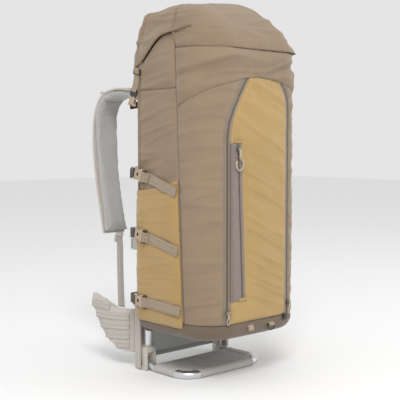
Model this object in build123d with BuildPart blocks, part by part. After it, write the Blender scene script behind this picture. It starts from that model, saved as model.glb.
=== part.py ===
from build123d import *
import math
import os

os.makedirs("parts", exist_ok=True)

# Millimetres. +X is the wearer's right, -Y the outer face of the bag, +Z up.
# The origin is on the ground, midway between the two feet of the frame.

# Bag
BAG_W = 344            # over the side panels
BACK_Y = -15
FRONT_Y = -265
CORNER_R = 90          # outer front corners, seen from above
BACK_R = 22
CLOTH = 3              # padded double cloth
BOTTOM_Z = 110
BOTTOM_RIM_Z = 150
ARCH_Z = 712           # seam between the lower panels and the yoke
COLLAR_Z = 796
SEAM_Y = -168          # vertical seam between side and front panels
MAIN_ZIP_X = 105
MAIN_ZIP_LOW_Z = 158
TAPE_W = 10
COIL_W = 5
COIL_T = 1.4

# Side pockets and the straps that cross them
POCKET_X = 181
POCKET_LOW_Z = 138
POCKET_TOP_Z = 470
POCKET_CLOTH = 2
STRAP_W = 20           # straps of the rolled top and the harness
STRAP_T = 1.5
BUCKLE_W = 25
WIDE_STRAP_W = 25      # compression straps
WIDE_BUCKLE_W = 33
BUCKLE_LOW = 2.2       # gap between a buckle and the pocket under it
BUCKLE_T = 7
SOCKET_U = (-22, 9)    # reach along the strap, from the middle of the buckle
PLUG_U = (9.3, 21)
PRONG_U = -15
PRONG_V = 10
ANCHOR_T = 2
# each row: buckle height, strap height at the front seam
STRAP_ROWS = {"top": (499, 460), "middle": (352, 322), "bottom": (189, 181)}
BUCKLE_Y = -41
ANCHOR_Y = 2.4          # where the buckle webbing meets the frame leg
STRAP_END_Y = -173

# Pocket zip on the outer face
POCKET_ZIP_TOP = (-74, 561)
POCKET_ZIP_LOW = (-59, 213)
ZIP_RUN = 348

# Zip sliders and pulls
SLIDER_Z = 178
SLIDER_W = 12
SLIDER_L = 16
SLIDER_GAP = 0.6
SLIDER_TOP = 5
BAIL_PIN = (3, 6.8)    # along the zip from the slider's middle, out from the cloth
BAIL_PIN_R = 1
PULL_L = 32
POCKET_PULL_L = 52

# Lash ring on the lower edge of the outer face
RING_X = 40
RING_PIN_Z = 134
RING_Y = FRONT_Y - 4.5
RING_R = 13
RING_WIRE_R = 2

# Rolled top
HOOD_LOW_Z = 798
HOOD_INSET = 1
HOOD_WALL = 4
ROLL_Y = -108
ROLL_R = (48, 24)
ROLL_STRAP_TOP = (-46, 852)
ROLL_PLUG = (-4, 690)
ROLL_IN = 173

# Frame and load shelf
TUBE_R = 9.5
TUBE_WALL = 1.5
LEG_X = 130
LEG_LOW_Z = 44
HOOP_TOP_Z = 700
HOOP_BEND_R = 45
CROSSBAR_Z = (170, 430)
FOOT_W = 32
FOOT_Y = (-14, 17)
FOOT_H = 60
CHEEK_T = 5.8
PIVOT_Y = 5
PIVOT_Z = 20
PIN_R = 4
EYE_R = 11
SHELF_KNEE_Y = -28
SHELF_END_Y = -150
SLING_T = 2

# Harness
PANEL_Y = TUBE_R + 0.3
PANEL_T = 2.5
PAD_Y = PANEL_Y + PANEL_T
SHOULDER_X = 95
SHOULDER_W = 72
SHOULDER_T = 14
WING_T = 16
TAIL_X = 150


def unit(a, b):
    """Unit vector in the plane from point a to point b."""
    length = math.dist(a, b)
    return (b[0] - a[0]) / length, (b[1] - a[1]) / length


def beside(points, distance):
    """The points of a line moved sideways, to the left of its direction."""
    moved = []
    for i, point in enumerate(points):
        before = points[max(i - 1, 0)]
        after = points[min(i + 1, len(points) - 1)]
        du, dv = unit(before, after)
        moved.append((point[0] - dv * distance, point[1] + du * distance))
    return moved


def save(piece, name):
    piece.part.label = name
    export_step(piece.part, f"parts/{name}.step")


# Outline of the bag seen from above, and its wall.

with BuildSketch() as bag_outline:
    with Locations((0, (BACK_Y + FRONT_Y) / 2)):
        Rectangle(BAG_W, BACK_Y - FRONT_Y)
    fillet(bag_outline.vertices().group_by(Axis.Y)[0], CORNER_R)
    fillet(bag_outline.vertices().group_by(Axis.Y)[-1], BACK_R)

with BuildSketch() as wall_ring:
    add(bag_outline.sketch)
    offset(amount=-CLOTH, mode=Mode.SUBTRACT)

with BuildSketch() as coil_ring:
    add(bag_outline.sketch)
    offset(amount=COIL_T)
    add(bag_outline.sketch, mode=Mode.SUBTRACT)


def wall_panel(name, x_range, y_range, z_range):
    """A panel of the wall: the stretch of the ring inside the given ranges."""
    with BuildPart() as panel:
        with BuildSketch(Plane.XY.offset(z_range[0])):
            add(wall_ring.sketch)
            with Locations((sum(x_range) / 2, sum(y_range) / 2)):
                Rectangle(x_range[1] - x_range[0], y_range[1] - y_range[0], mode=Mode.INTERSECT)
        extrude(amount=z_range[1] - z_range[0])
    save(panel, name)


half_w = BAG_W / 2
tape_in = MAIN_ZIP_X - TAPE_W / 2
tape_out = MAIN_ZIP_X + TAPE_W / 2
panel_z = (BOTTOM_RIM_Z, ARCH_Z)

wall_panel("back_panel", (-half_w, half_w), (BACK_Y - BACK_R, BACK_Y), (BOTTOM_RIM_Z, COLLAR_Z))
wall_panel("center_panel", (-tape_in, tape_in), (FRONT_Y, FRONT_Y + 40), panel_z)
for side, label in ((-1, "left"), (1, "right")):
    outside = sorted((side * half_w, side * (half_w - 10)))
    corner = sorted((side * half_w, side * tape_out))
    wall_panel(f"side_panel_{label}", outside, (SEAM_Y, BACK_Y - BACK_R), panel_z)
    wall_panel(f"front_panel_{label}", corner, (FRONT_Y, SEAM_Y), panel_z)
wall_panel("yoke_panel", (-half_w, half_w), (FRONT_Y, BACK_Y - BACK_R), (ARCH_Z, COLLAR_Z))

# Bottom panel: a shallow tray with rounded lower edges.
with BuildPart() as bottom_panel:
    with BuildSketch(Plane.XY.offset(BOTTOM_Z)):
        add(bag_outline.sketch)
    extrude(amount=BOTTOM_RIM_Z - BOTTOM_Z)
    fillet(bottom_panel.faces().sort_by(Axis.Z)[0].edges(), BACK_R - 4)
    offset(amount=-CLOTH, openings=bottom_panel.faces().sort_by(Axis.Z)[-1])
save(bottom_panel, "bottom_panel")

# Main zips: tape flush with the wall, and the raised coil the slider runs on.
for side, label in ((-1, "left"), (1, "right")):
    with BuildPart() as main_zip:
        with BuildSketch(Plane.XY.offset(BOTTOM_RIM_Z)):
            add(wall_ring.sketch)
            with Locations((side * MAIN_ZIP_X, FRONT_Y)):
                Rectangle(TAPE_W, 20, mode=Mode.INTERSECT)
        extrude(amount=ARCH_Z - BOTTOM_RIM_Z)
        with BuildSketch(Plane.XY.offset(MAIN_ZIP_LOW_Z)):
            add(coil_ring.sketch)
            with Locations((side * MAIN_ZIP_X, FRONT_Y)):
                Rectangle(COIL_W, 20, mode=Mode.INTERSECT)
        extrude(amount=ARCH_Z - MAIN_ZIP_LOW_Z)
    save(main_zip, f"main_zip_{label}")

# Pocket zip: a taped zip sewn on the centre panel, a little off upright.
zip_across, zip_down = unit(POCKET_ZIP_TOP, POCKET_ZIP_LOW)
pocket_zip_plane = Plane(
    origin=(POCKET_ZIP_TOP[0], FRONT_Y, POCKET_ZIP_TOP[1]),
    x_dir=(-zip_down, 0, zip_across),
    z_dir=(0, -1, 0),
)
POCKET_TAPE_W = 24
POCKET_TAPE_T = 1
with BuildPart() as pocket_zip:
    with BuildSketch(pocket_zip_plane):
        with Locations((0, -ZIP_RUN / 2 + 6)):
            Rectangle(POCKET_TAPE_W, ZIP_RUN + 36)
    extrude(amount=POCKET_TAPE_T)
    with BuildSketch(pocket_zip_plane.offset(POCKET_TAPE_T)):
        with Locations((0, -ZIP_RUN / 2 + 2)):
            Rectangle(COIL_W, ZIP_RUN + 24)
    extrude(amount=COIL_T)
save(pocket_zip, "pocket_zip")

# Zip sliders and their pulls. The pull's pin turns in the slider's bail.


def zip_slider(plane, name):
    with BuildPart() as slider:
        with BuildSketch(plane.offset(SLIDER_GAP)):
            Rectangle(SLIDER_W, SLIDER_L)
        extrude(amount=SLIDER_TOP - SLIDER_GAP)
        with BuildSketch(plane.offset(SLIDER_GAP)):
            Rectangle(COIL_W + 1.2, SLIDER_L)
        extrude(amount=COIL_T + 0.1, mode=Mode.SUBTRACT)
        with BuildSketch(plane.offset(SLIDER_TOP)):
            with Locations((0, BAIL_PIN[0])):
                Rectangle(4, 7)
        extrude(amount=3.6)
        with Locations(plane * Location((0, BAIL_PIN[0], BAIL_PIN[1]), (0, 90, 0))):
            Cylinder(BAIL_PIN_R + 0.06, 6, mode=Mode.SUBTRACT)
    save(slider, name)


def zip_pull(plane, name, length):
    with BuildPart() as pull:
        with BuildSketch(plane.offset(BAIL_PIN[1] - 1)):
            with Locations((0, BAIL_PIN[0] + 1 - length / 2)):
                Rectangle(10, length)
            with Locations((0, BAIL_PIN[0] - 3.5)):
                Rectangle(5.4, 11.1, mode=Mode.SUBTRACT)
        extrude(amount=2)
        with Locations(plane * Location((0, BAIL_PIN[0], BAIL_PIN[1]), (0, 90, 0))):
            Cylinder(BAIL_PIN_R, 10)
    save(pull, name)


corner_x = half_w - CORNER_R
zip_lean = math.asin((MAIN_ZIP_X - corner_x) / CORNER_R)
zip_y = FRONT_Y + CORNER_R * (1 - math.cos(zip_lean))
for side, label in ((-1, "left"), (1, "right")):
    slider_plane = Plane(
        origin=(side * MAIN_ZIP_X, zip_y, SLIDER_Z),
        x_dir=(math.cos(zip_lean), side * math.sin(zip_lean), 0),
        z_dir=(side * math.sin(zip_lean), -math.cos(zip_lean), 0),
    )
    zip_slider(slider_plane, f"main_slider_{label}")
    zip_pull(slider_plane, f"main_pull_{label}", PULL_L)
zip_slider(pocket_zip_plane.offset(POCKET_TAPE_T), "pocket_slider")
zip_pull(pocket_zip_plane.offset(POCKET_TAPE_T), "pocket_pull", POCKET_PULL_L)

# Stretch pockets on the sides: an outer cloth and its sewn side and bottom edges.
for side, label in ((-1, "left"), (1, "right")):
    with BuildPart() as pocket:
        with BuildSketch(Plane.YZ.offset(side * (half_w + 0.2))):
            with Locations(((SEAM_Y + BACK_Y - 7) / 2, (POCKET_LOW_Z + POCKET_TOP_Z) / 2)):
                Rectangle(BACK_Y - 7 - SEAM_Y, POCKET_TOP_Z - POCKET_LOW_Z)
        extrude(amount=side * (POCKET_X - half_w - 0.2))
        with BuildSketch(Plane.YZ.offset(side * (half_w + 0.2))):
            with Locations(((SEAM_Y + BACK_Y - 7) / 2, (POCKET_LOW_Z + POCKET_TOP_Z) / 2 + 2)):
                Rectangle(BACK_Y - 11 - SEAM_Y, POCKET_TOP_Z - POCKET_LOW_Z)
        extrude(amount=side * (POCKET_X - half_w - 0.2 - POCKET_CLOTH), mode=Mode.SUBTRACT)
    save(pocket, f"side_pocket_{label}")

# Compression straps, with the plug and socket of each side release buckle.


def side_plane(side, y, z, toward):
    """Plane on the outside of a side pocket, x running towards a point (y, z)."""
    dy, dz = unit((y, z), toward)
    return Plane(origin=(side * POCKET_X, y, z), x_dir=(0, dy, dz), z_dir=(side, 0, 0))


for side, label in ((-1, "left"), (1, "right")):
    with BuildPart() as straps:
        for buckle_z, seam_z in STRAP_ROWS.values():
            plane = side_plane(side, BUCKLE_Y, buckle_z, (STRAP_END_Y, seam_z))
            length = math.dist((BUCKLE_Y, buckle_z), (STRAP_END_Y, seam_z))
            with BuildSketch(plane.offset(0.3)):
                with Locations(((length + 8) / 2, 0)):
                    Rectangle(length - 8, WIDE_STRAP_W)
            extrude(amount=STRAP_T)
    save(straps, f"compression_straps_{label}")

    with BuildPart() as sockets:
        for buckle_z, seam_z in STRAP_ROWS.values():
            plane = side_plane(side, BUCKLE_Y, buckle_z, (STRAP_END_Y, seam_z))
            with BuildSketch(plane.offset(BUCKLE_LOW)):
                with Locations((sum(SOCKET_U) / 2, 0)):
                    Rectangle(SOCKET_U[1] - SOCKET_U[0], WIDE_BUCKLE_W)
            extrude(amount=BUCKLE_T)
            with BuildSketch(plane.offset(BUCKLE_LOW + 1.5)):
                with Locations(((PRONG_U - 1.5 + SOCKET_U[1]) / 2, 0)):
                    Rectangle(SOCKET_U[1] - PRONG_U + 1.5, WIDE_BUCKLE_W - 5)
            extrude(amount=BUCKLE_T - 3, mode=Mode.SUBTRACT)
            turn_x = POCKET_X + BUCKLE_LOW + ANCHOR_T
            leg_x = LEG_X + TUBE_R + 0.6
            end_y = BUCKLE_Y - SOCKET_U[0] - 2
            with Locations((side * (turn_x + leg_x) / 2, ANCHOR_Y, buckle_z + 3)):
                Box(turn_x - leg_x, ANCHOR_T, WIDE_STRAP_W - 2)
            with Locations((side * (turn_x - ANCHOR_T / 2), (end_y + ANCHOR_Y) / 2, buckle_z + 3)):
                Box(ANCHOR_T, ANCHOR_Y - end_y, WIDE_STRAP_W - 2)
    save(sockets, f"buckle_sockets_{label}")

    for row, (buckle_z, seam_z) in STRAP_ROWS.items():
        plane = side_plane(side, BUCKLE_Y, buckle_z, (STRAP_END_Y, seam_z))
        with BuildPart() as plug:
            with BuildSketch(plane.offset(BUCKLE_LOW)):
                with Locations((sum(PLUG_U) / 2, 0)):
                    Rectangle(PLUG_U[1] - PLUG_U[0], WIDE_BUCKLE_W)
            extrude(amount=BUCKLE_T)
            with BuildSketch(plane.offset(BUCKLE_LOW + 1.8)):
                with Locations(((PRONG_U + PLUG_U[0]) / 2, -PRONG_V), ((PRONG_U + PLUG_U[0]) / 2, PRONG_V)):
                    Rectangle(PLUG_U[0] - PRONG_U, 4)
            extrude(amount=BUCKLE_T - 3.6)
            with BuildSketch(plane.offset(BUCKLE_LOW)):
                with Locations((PLUG_U[1] - 5, 0)):
                    Rectangle(4, WIDE_STRAP_W)
            extrude(amount=BUCKLE_T, mode=Mode.SUBTRACT)
        save(plug, f"buckle_plug_{label}_{row}")

# Lash tabs on the lower edge of the outer face, and the ring they hold.
with BuildPart() as lash_tabs:
    for x, z, length in ((-31, 134, 18), (91, 146, 12)):
        with Locations((x, FRONT_Y - 1.2, z)):
            Box(length, 2, 10)
save(lash_tabs, "lash_tabs")

with BuildPart() as ring_tab:
    with Locations((RING_X, RING_Y + 0.15, RING_PIN_Z)):
        Box(18, 8.4, 10)
    with Locations(Location((RING_X, RING_Y, RING_PIN_Z), (0, 90, 0))):
        Cylinder(RING_WIRE_R + 0.3, 30, mode=Mode.SUBTRACT)
save(ring_tab, "ring_tab")

with BuildPart() as d_ring:
    with BuildLine(Plane.XZ.offset(-RING_Y)):
        bow = CenterArc((RING_X, RING_PIN_Z), RING_R, 180, 180)
    with BuildSketch(Plane(origin=bow @ 0, z_dir=bow % 0)):
        Circle(RING_WIRE_R)
    sweep(path=bow)
    with Locations(Location((RING_X, RING_Y, RING_PIN_Z), (0, 90, 0))):
        Cylinder(RING_WIRE_R, 26)
save(d_ring, "d_ring")

# Rolled top: a hollow cloth hood as wide as the bag, and the rolled end of the collar
# along its ridge. The side outline runs from the front hem over the ridge to the back hem.
hood_line = [(FRONT_Y, HOOD_LOW_Z), (FRONT_Y + 12, 836), (-215, 866), (-160, 884), (-90, 892),
             (-46, 884), (BACK_Y - 3, 850), (BACK_Y, HOOD_LOW_Z)]
inner_line = beside(hood_line, -HOOD_WALL)


def hood_outline(points):
    with BuildLine() as outline:
        Spline(points)
        Polyline(points[-1], (points[-1][0], HOOD_LOW_Z - 20), (points[0][0], HOOD_LOW_Z - 20), points[0])
    return outline.line


def hood_block(points, inset):
    """The outline of the bag, drawn in by the inset, up to the side outline of the hood."""
    with BuildPart() as block:
        with BuildSketch(Plane.XY.offset(HOOD_LOW_Z)):
            add(bag_outline.sketch)
            offset(amount=-inset)
        extrude(amount=150)
        with BuildSketch(Plane.YZ):
            add(hood_outline(points))
            make_face()
        extrude(amount=BAG_W, both=True, mode=Mode.INTERSECT)
    return block.part


hood_outside = hood_block(hood_line, HOOD_INSET)
with BuildPart() as roll_hood:
    add(hood_outside)
    add(hood_block(inner_line, HOOD_INSET + HOOD_WALL), mode=Mode.SUBTRACT)
save(roll_hood, "roll_hood")

with BuildPart() as collar_roll:
    with BuildSketch(Plane.YZ):
        with Locations((ROLL_Y, 920 - ROLL_R[1])):
            Ellipse(*ROLL_R)
    extrude(amount=half_w - 24, both=True)
    add(hood_outside, mode=Mode.SUBTRACT)
save(collar_roll, "collar_roll")

# Side straps of the rolled top, their locks, plugs and the sockets on the frame.
for side, label in ((-1, "left"), (1, "right")):
    strap_run = math.dist(ROLL_STRAP_TOP, ROLL_PLUG)
    down_y, down_z = unit(ROLL_STRAP_TOP, ROLL_PLUG)
    strap_plane = Plane(
        origin=(side * ROLL_IN, *ROLL_STRAP_TOP), x_dir=(0, down_y, down_z), z_dir=(side, 0, 0)
    )
    with BuildPart() as roll_strap:
        with BuildSketch(strap_plane):
            with Locations((strap_run / 2 - 8, 0)):
                Rectangle(strap_run - 16, STRAP_W)
        extrude(amount=STRAP_T)
        with BuildSketch(strap_plane):
            with Locations((16, 0)):
                Rectangle(32, STRAP_W)
        extrude(amount=half_w - HOOD_INSET - ROLL_IN)
    save(roll_strap, f"roll_strap_{label}")
    with BuildPart() as roll_plug:
        for run, size in ((strap_run - 62, 14), (strap_run - 10, 16)):
            with BuildSketch(strap_plane.offset(STRAP_T)):
                with Locations((run, 0)):
                    Rectangle(size, BUCKLE_W)
            extrude(amount=4.5)
            with BuildSketch(strap_plane.offset(STRAP_T)):
                with Locations((run, 0)):
                    Rectangle(3, STRAP_W)
            extrude(amount=4.5, mode=Mode.SUBTRACT)
        with BuildSketch(strap_plane.offset(STRAP_T + 0.6)):
            with Locations((strap_run + 7, 0)):
                Rectangle(18, BUCKLE_W - 9)
        extrude(amount=2.8)
    save(roll_plug, f"roll_plug_{label}")

with BuildPart() as roll_sockets:
    for side in (-1, 1):
        strap_plane = Plane(
            origin=(side * ROLL_IN, *ROLL_STRAP_TOP), x_dir=(0, down_y, down_z), z_dir=(side, 0, 0)
        )
        for low, thick in ((0, 1.6), (5.6, 1.6)):
            with BuildSketch(strap_plane.offset(low)):
                with Locations((strap_run + 11, 0)):
                    Rectangle(22, BUCKLE_W)
            extrude(amount=thick)
        with BuildSketch(strap_plane):
            with Locations((strap_run + 20, 0)):
                Rectangle(5, BUCKLE_W)
        extrude(amount=5.6)
        with Locations((side * (ROLL_IN + LEG_X + TUBE_R + 0.6) / 2, ROLL_PLUG[0] + 5, ROLL_PLUG[1] - 18)):
            Box(ROLL_IN - LEG_X - TUBE_R, ANCHOR_T, STRAP_W - 4)
save(roll_sockets, "roll_sockets")

# Frame: a bent tube hoop, two crossbars, and the cloth panel on the wearer's side.
with BuildPart() as frame_hoop:
    with BuildLine() as hoop_path:
        FilletPolyline(
            (-LEG_X, 0, LEG_LOW_Z + 0.2), (-LEG_X, 0, HOOP_TOP_Z), (LEG_X, 0, HOOP_TOP_Z),
            (LEG_X, 0, LEG_LOW_Z + 0.2), radius=HOOP_BEND_R,
        )
    with BuildSketch(Plane(origin=(-LEG_X, 0, LEG_LOW_Z + 0.2))):
        Circle(TUBE_R)
        Circle(TUBE_R - TUBE_WALL, mode=Mode.SUBTRACT)
    sweep(path=hoop_path.line)
save(frame_hoop, "frame_hoop")

CROSSBAR_R = 8
with BuildPart() as frame_crossbars:
    for z in CROSSBAR_Z:
        with Locations(Location((0, 0, z), (0, 90, 0))):
            Cylinder(CROSSBAR_R, 2 * LEG_X)
            Cylinder(CROSSBAR_R - TUBE_WALL, 2 * LEG_X, mode=Mode.SUBTRACT)
    for x in (-LEG_X, LEG_X):
        with Locations((x, 0, HOOP_TOP_Z / 2)):
            Cylinder(TUBE_R + 0.02, HOOP_TOP_Z, mode=Mode.SUBTRACT)
save(frame_crossbars, "frame_crossbars")

with BuildPart() as frame_panel:
    with BuildSketch(Plane.XZ.offset(-PANEL_Y)):
        with Locations((0, (FOOT_H + 2 + HOOP_TOP_Z) / 2)):
            Rectangle(2 * LEG_X - 8, HOOP_TOP_Z - FOOT_H - 2)
        with Locations((0, FOOT_H)):
            Rectangle(2 * LEG_X - FOOT_W - 2, 2 * (FOOT_H - 30))
    extrude(amount=-PANEL_T)
save(frame_panel, "frame_panel")

# Feet: forked plastic ends that hold the frame legs and the hinge of the shelf.
foot_depth = FOOT_Y[1] - FOOT_Y[0]
with BuildPart() as frame_feet:
    for side in (-1, 1):
        with Locations((side * LEG_X, sum(FOOT_Y) / 2, FOOT_H / 2)):
            Box(FOOT_W, foot_depth, FOOT_H)
        with Locations((side * LEG_X, sum(FOOT_Y) / 2, LEG_LOW_Z / 2)):
            Box(FOOT_W - 2 * CHEEK_T, foot_depth, LEG_LOW_Z, mode=Mode.SUBTRACT)
        with Locations((side * LEG_X, 0, FOOT_H)):
            Cylinder(TUBE_R, 2 * (FOOT_H - LEG_LOW_Z), mode=Mode.SUBTRACT)
        with Locations(Location((side * LEG_X, PIVOT_Y, PIVOT_Z), (0, 90, 0))):
            Cylinder(PIN_R, FOOT_W, mode=Mode.SUBTRACT)
save(frame_feet, "frame_feet")

with BuildPart() as hinge_pins:
    for side in (-1, 1):
        with Locations(Location((side * LEG_X, PIVOT_Y, PIVOT_Z), (0, 90, 0))):
            Cylinder(PIN_R, FOOT_W)
save(hinge_pins, "hinge_pins")

# Load shelf: a bent tube that turns on the pins, and the cloth sling over it.
with BuildPart() as shelf_tube:
    with BuildLine() as shelf_path:
        FilletPolyline(
            (-LEG_X, PIVOT_Y, PIVOT_Z), (-LEG_X, SHELF_KNEE_Y, TUBE_R), (-LEG_X, SHELF_END_Y, TUBE_R),
            (LEG_X, SHELF_END_Y, TUBE_R), (LEG_X, SHELF_KNEE_Y, TUBE_R), (LEG_X, PIVOT_Y, PIVOT_Z),
            radius=[30, 40, 40, 30],
        )
    with BuildSketch(Plane(origin=shelf_path.line @ 0, z_dir=shelf_path.line % 0)):
        Circle(TUBE_R)
        Circle(TUBE_R - TUBE_WALL, mode=Mode.SUBTRACT)
    sweep(path=shelf_path.line)
    for x in (-LEG_X, LEG_X):
        with Locations(Location((x, PIVOT_Y, PIVOT_Z), (0, 90, 0))):
            Cylinder(EYE_R, 2 * TUBE_R)
            Cylinder(PIN_R + 0.05, 2 * TUBE_R + 4, mode=Mode.SUBTRACT)
save(shelf_tube, "shelf_tube")

SLING_W = 2 * LEG_X + 16
with BuildPart() as shelf_sling:
    with BuildSketch(Plane.XY.offset(2 * TUBE_R + 0.2)) as sling_cut:
        with Locations((0, (SHELF_END_Y - 40) / 2)):
            Rectangle(SLING_W, -40 - SHELF_END_Y + 8)
        fillet(sling_cut.vertices().group_by(Axis.Y)[0], 40)
    extrude(amount=SLING_T)
save(shelf_sling, "shelf_sling")

# Harness: back pad and lumbar pad on the frame panel.
for name, size, z in (("back_pad", (190, 18, 240), 520), ("lumbar_pad", (210, 24, 120), 190)):
    with BuildPart() as pad:
        with Locations((0, PAD_Y + size[1] / 2 + 0.3, z)):
            Box(*size)
        fillet(pad.edges().filter_by(Axis.Y), 24)
        fillet(pad.faces().sort_by(Axis.Y)[-1].edges(), 8)
    save(pad, name)


def band_face(points, thickness):
    """Closed outline of a band of even thickness along a smooth line."""
    left = beside(points, thickness / 2)
    right = beside(points, -thickness / 2)
    with BuildLine() as outline:
        Spline(left)
        Line(left[-1], right[-1])
        Spline(right[::-1])
        Line(right[0], left[0])
    return outline.line


# Shoulder pads: from the top of the frame out over the shoulder and down the chest.
shoulder_line = [(PAD_Y + 3, 690), (70, 700), (130, 705), (180, 696), (208, 664), (217, 615),
                 (214, 550), (202, 470), (184, 390), (170, 338)]
# Hip wings: from the lumbar pad round the hips, and their height along the side.
wing_line = [(110, 31), (138, 42), (160, 70), (170, 112), (170, 150), (164, 176)]
wing_side = [(10, 150), (71, 156), (117, 175), (162, 184), (184, 180), (184, 150), (166, 140),
             (140, 98), (114, 68), (76, 43), (35, 37), (10, 40)]

for side, label in ((-1, "left"), (1, "right")):
    with BuildPart() as shoulder_pad:
        with BuildSketch(Plane.YZ.offset(side * SHOULDER_X - SHOULDER_W / 2)):
            add(band_face(shoulder_line, SHOULDER_T))
            make_face()
        extrude(amount=SHOULDER_W)
    save(shoulder_pad, f"shoulder_pad_{label}")

    with BuildPart() as hip_wing:
        with BuildSketch(Plane.XY.offset(wing_side[-2][1])):
            add(band_face([(side * x, y) for x, y in wing_line], WING_T))
            make_face()
        extrude(amount=150)
        with BuildSketch(Plane.YZ):
            with BuildLine():
                Polyline(wing_side, close=True)
            make_face()
        extrude(amount=220, both=True, mode=Mode.INTERSECT)
    save(hip_wing, f"hip_wing_{label}")

# Lifter straps over the shoulder pads, the locks on the lower ends of the pads,
# the lower straps that run from them to the belt, and the loose tails of the belt.
lifter_line = [(PAD_Y + 3, 706), (80, 716), (140, 718), (190, 708)]
lower_top = (SHOULDER_X, 158, 307)
lower_end = (142, 92, 150)
with BuildPart() as lifter_straps:
    for side in (-1, 1):
        with BuildSketch(Plane.YZ.offset(side * SHOULDER_X - STRAP_W / 2)):
            add(band_face(lifter_line, STRAP_T))
            make_face()
        extrude(amount=STRAP_W)
save(lifter_straps, "lifter_straps")

with BuildPart() as strap_locks:
    for side in (-1, 1):
        with BuildSketch(Plane.YZ.offset(side * SHOULDER_X - BUCKLE_W / 2)):
            with Locations(Location((163, 324), 15)):
                Rectangle(6, 26)
            with Locations(Location((216, 704), -50)):
                Rectangle(6, 26)
        extrude(amount=BUCKLE_W)
save(strap_locks, "strap_locks")

with BuildPart() as lower_straps:
    for side in (-1, 1):
        start = Vector(side * lower_top[0], *lower_top[1:])
        end = Vector(side * lower_end[0], *lower_end[1:])
        with BuildSketch(Plane(origin=start, z_dir=end - start, x_dir=(1, 0, 0))):
            Rectangle(STRAP_W, STRAP_T)
        extrude(amount=(end - start).length)
save(lower_straps, "lower_straps")

with BuildPart() as belt_tails:
    for side in (-1, 1):
        with BuildSketch(Plane.YZ.offset(side * TAIL_X - 2)):
            with Locations((14, 89)):
                Rectangle(STRAP_W + 2, 172)
        extrude(amount=4)
save(belt_tails, "belt_tails")

# Clips on the frame legs: the upper ones hold the bag, the lower ones the belt tails.
with BuildPart() as frame_clips:
    for side in (-1, 1):
        with Locations((side * (LEG_X + TUBE_R + 5.2), 22, 322)):
            Box(10, 44, 32)
        with Locations((side * (TAIL_X - 6.2), 14, 163)):
            Box(8, 26, 22)
save(frame_clips, "frame_clips")
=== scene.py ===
import math

import bmesh
import bpy
import numpy as np
from mathutils import Matrix, Vector, noise
from mathutils.bvhtree import BVHTree


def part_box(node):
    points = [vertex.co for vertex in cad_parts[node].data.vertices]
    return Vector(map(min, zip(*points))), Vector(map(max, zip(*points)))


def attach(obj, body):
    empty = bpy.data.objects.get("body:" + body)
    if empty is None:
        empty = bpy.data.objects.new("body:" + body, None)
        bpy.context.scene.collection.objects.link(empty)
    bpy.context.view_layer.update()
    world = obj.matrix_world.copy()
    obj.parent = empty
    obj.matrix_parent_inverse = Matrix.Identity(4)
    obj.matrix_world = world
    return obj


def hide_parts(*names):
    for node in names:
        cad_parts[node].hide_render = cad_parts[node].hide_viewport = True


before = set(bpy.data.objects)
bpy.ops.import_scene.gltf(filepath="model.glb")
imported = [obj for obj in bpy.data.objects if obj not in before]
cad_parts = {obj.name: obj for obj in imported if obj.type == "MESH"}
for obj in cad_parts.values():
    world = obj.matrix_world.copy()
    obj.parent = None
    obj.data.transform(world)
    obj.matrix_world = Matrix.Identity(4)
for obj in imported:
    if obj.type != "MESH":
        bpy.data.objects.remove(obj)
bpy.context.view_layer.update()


# Camera, floor and light. The pack stands on a pale studio floor, seen from its left front
# corner at hip height, under large soft lights.
scene = bpy.context.scene
turn = math.radians(43)
pitch = math.radians(4)
aim = Vector((math.sin(turn) * math.cos(pitch), math.cos(turn) * math.cos(pitch), -math.sin(pitch)))
aside = Vector((math.cos(turn), -math.sin(turn), 0))
camera_data = bpy.data.cameras.new("view_camera")
camera_data.lens = 79.2
camera_data.sensor_width = 36
camera = bpy.data.objects.new("view_camera", camera_data)
camera.location = Vector((-math.sin(turn), -math.cos(turn), 0)) * 2.3 + aside * 0.038 + Vector((0, 0,
                                                                                                0.5877))
camera.rotation_euler = aim.to_track_quat("-Z", "Y").to_euler()
scene.collection.objects.link(camera)
scene.camera = camera
scene.view_settings.view_transform = "Standard"

floor_mesh = bpy.data.meshes.new("floor")
floor_mesh.from_pydata([(-9, -9, 0), (9, -9, 0), (9, 9, 0), (-9, 9, 0)], [], [(0, 1, 2, 3)])
floor = bpy.data.objects.new("floor", floor_mesh)
scene.collection.objects.link(floor)
floor_finish = bpy.data.materials.new("floor_paper")
floor_finish.use_nodes = True
floor_finish.node_tree.nodes["Principled BSDF"].inputs["Base Color"].default_value = (0.9, 0.9, 0.9, 1)
floor_finish.node_tree.nodes["Principled BSDF"].inputs["Roughness"].default_value = 0.9
floor_mesh.materials.append(floor_finish)

world = bpy.data.worlds.new("studio")
world.use_nodes = True
world.node_tree.nodes["Background"].inputs["Color"].default_value = (1, 1, 1, 1)
world.node_tree.nodes["Background"].inputs["Strength"].default_value = 0.78
scene.world = world
for name, place, size, power in (
    ("key_light", (-1.9, -2.3, 3.0), 1.3, 80),
    ("fill_light", (2.4, -1.9, 1.5), 2.0, 15),
):
    light_data = bpy.data.lights.new(name, "AREA")
    light_data.size = size
    light_data.energy = power
    light = bpy.data.objects.new(name, light_data)
    light.location = place
    light.rotation_euler = (Vector((0, -0.05, 0.45)) - Vector(place)).to_track_quat("-Z", "Y").to_euler()
    scene.collection.objects.link(light)


# Cloth of the bag. Woven nylon, cut into flat panels, hemmed and sewn edge to edge over a
# rounded box. Every panel follows the same outline, measured round the bag from its back
# left corner, and sinks at its sewn edges.
SIDE_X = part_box("side_panel_right")[1].x
BACK_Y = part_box("back_panel")[1].y + 0.005
FRONT_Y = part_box("center_panel")[0].y
CORNER_R = 0.090
BACK_R = 0.012
side_run = (BACK_Y - BACK_R) - (FRONT_Y + CORNER_R)
corner_run = CORNER_R * math.pi / 2
front_run = 2 * (SIDE_X - CORNER_R)
MAIN_ZIP_X = 0.105


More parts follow.
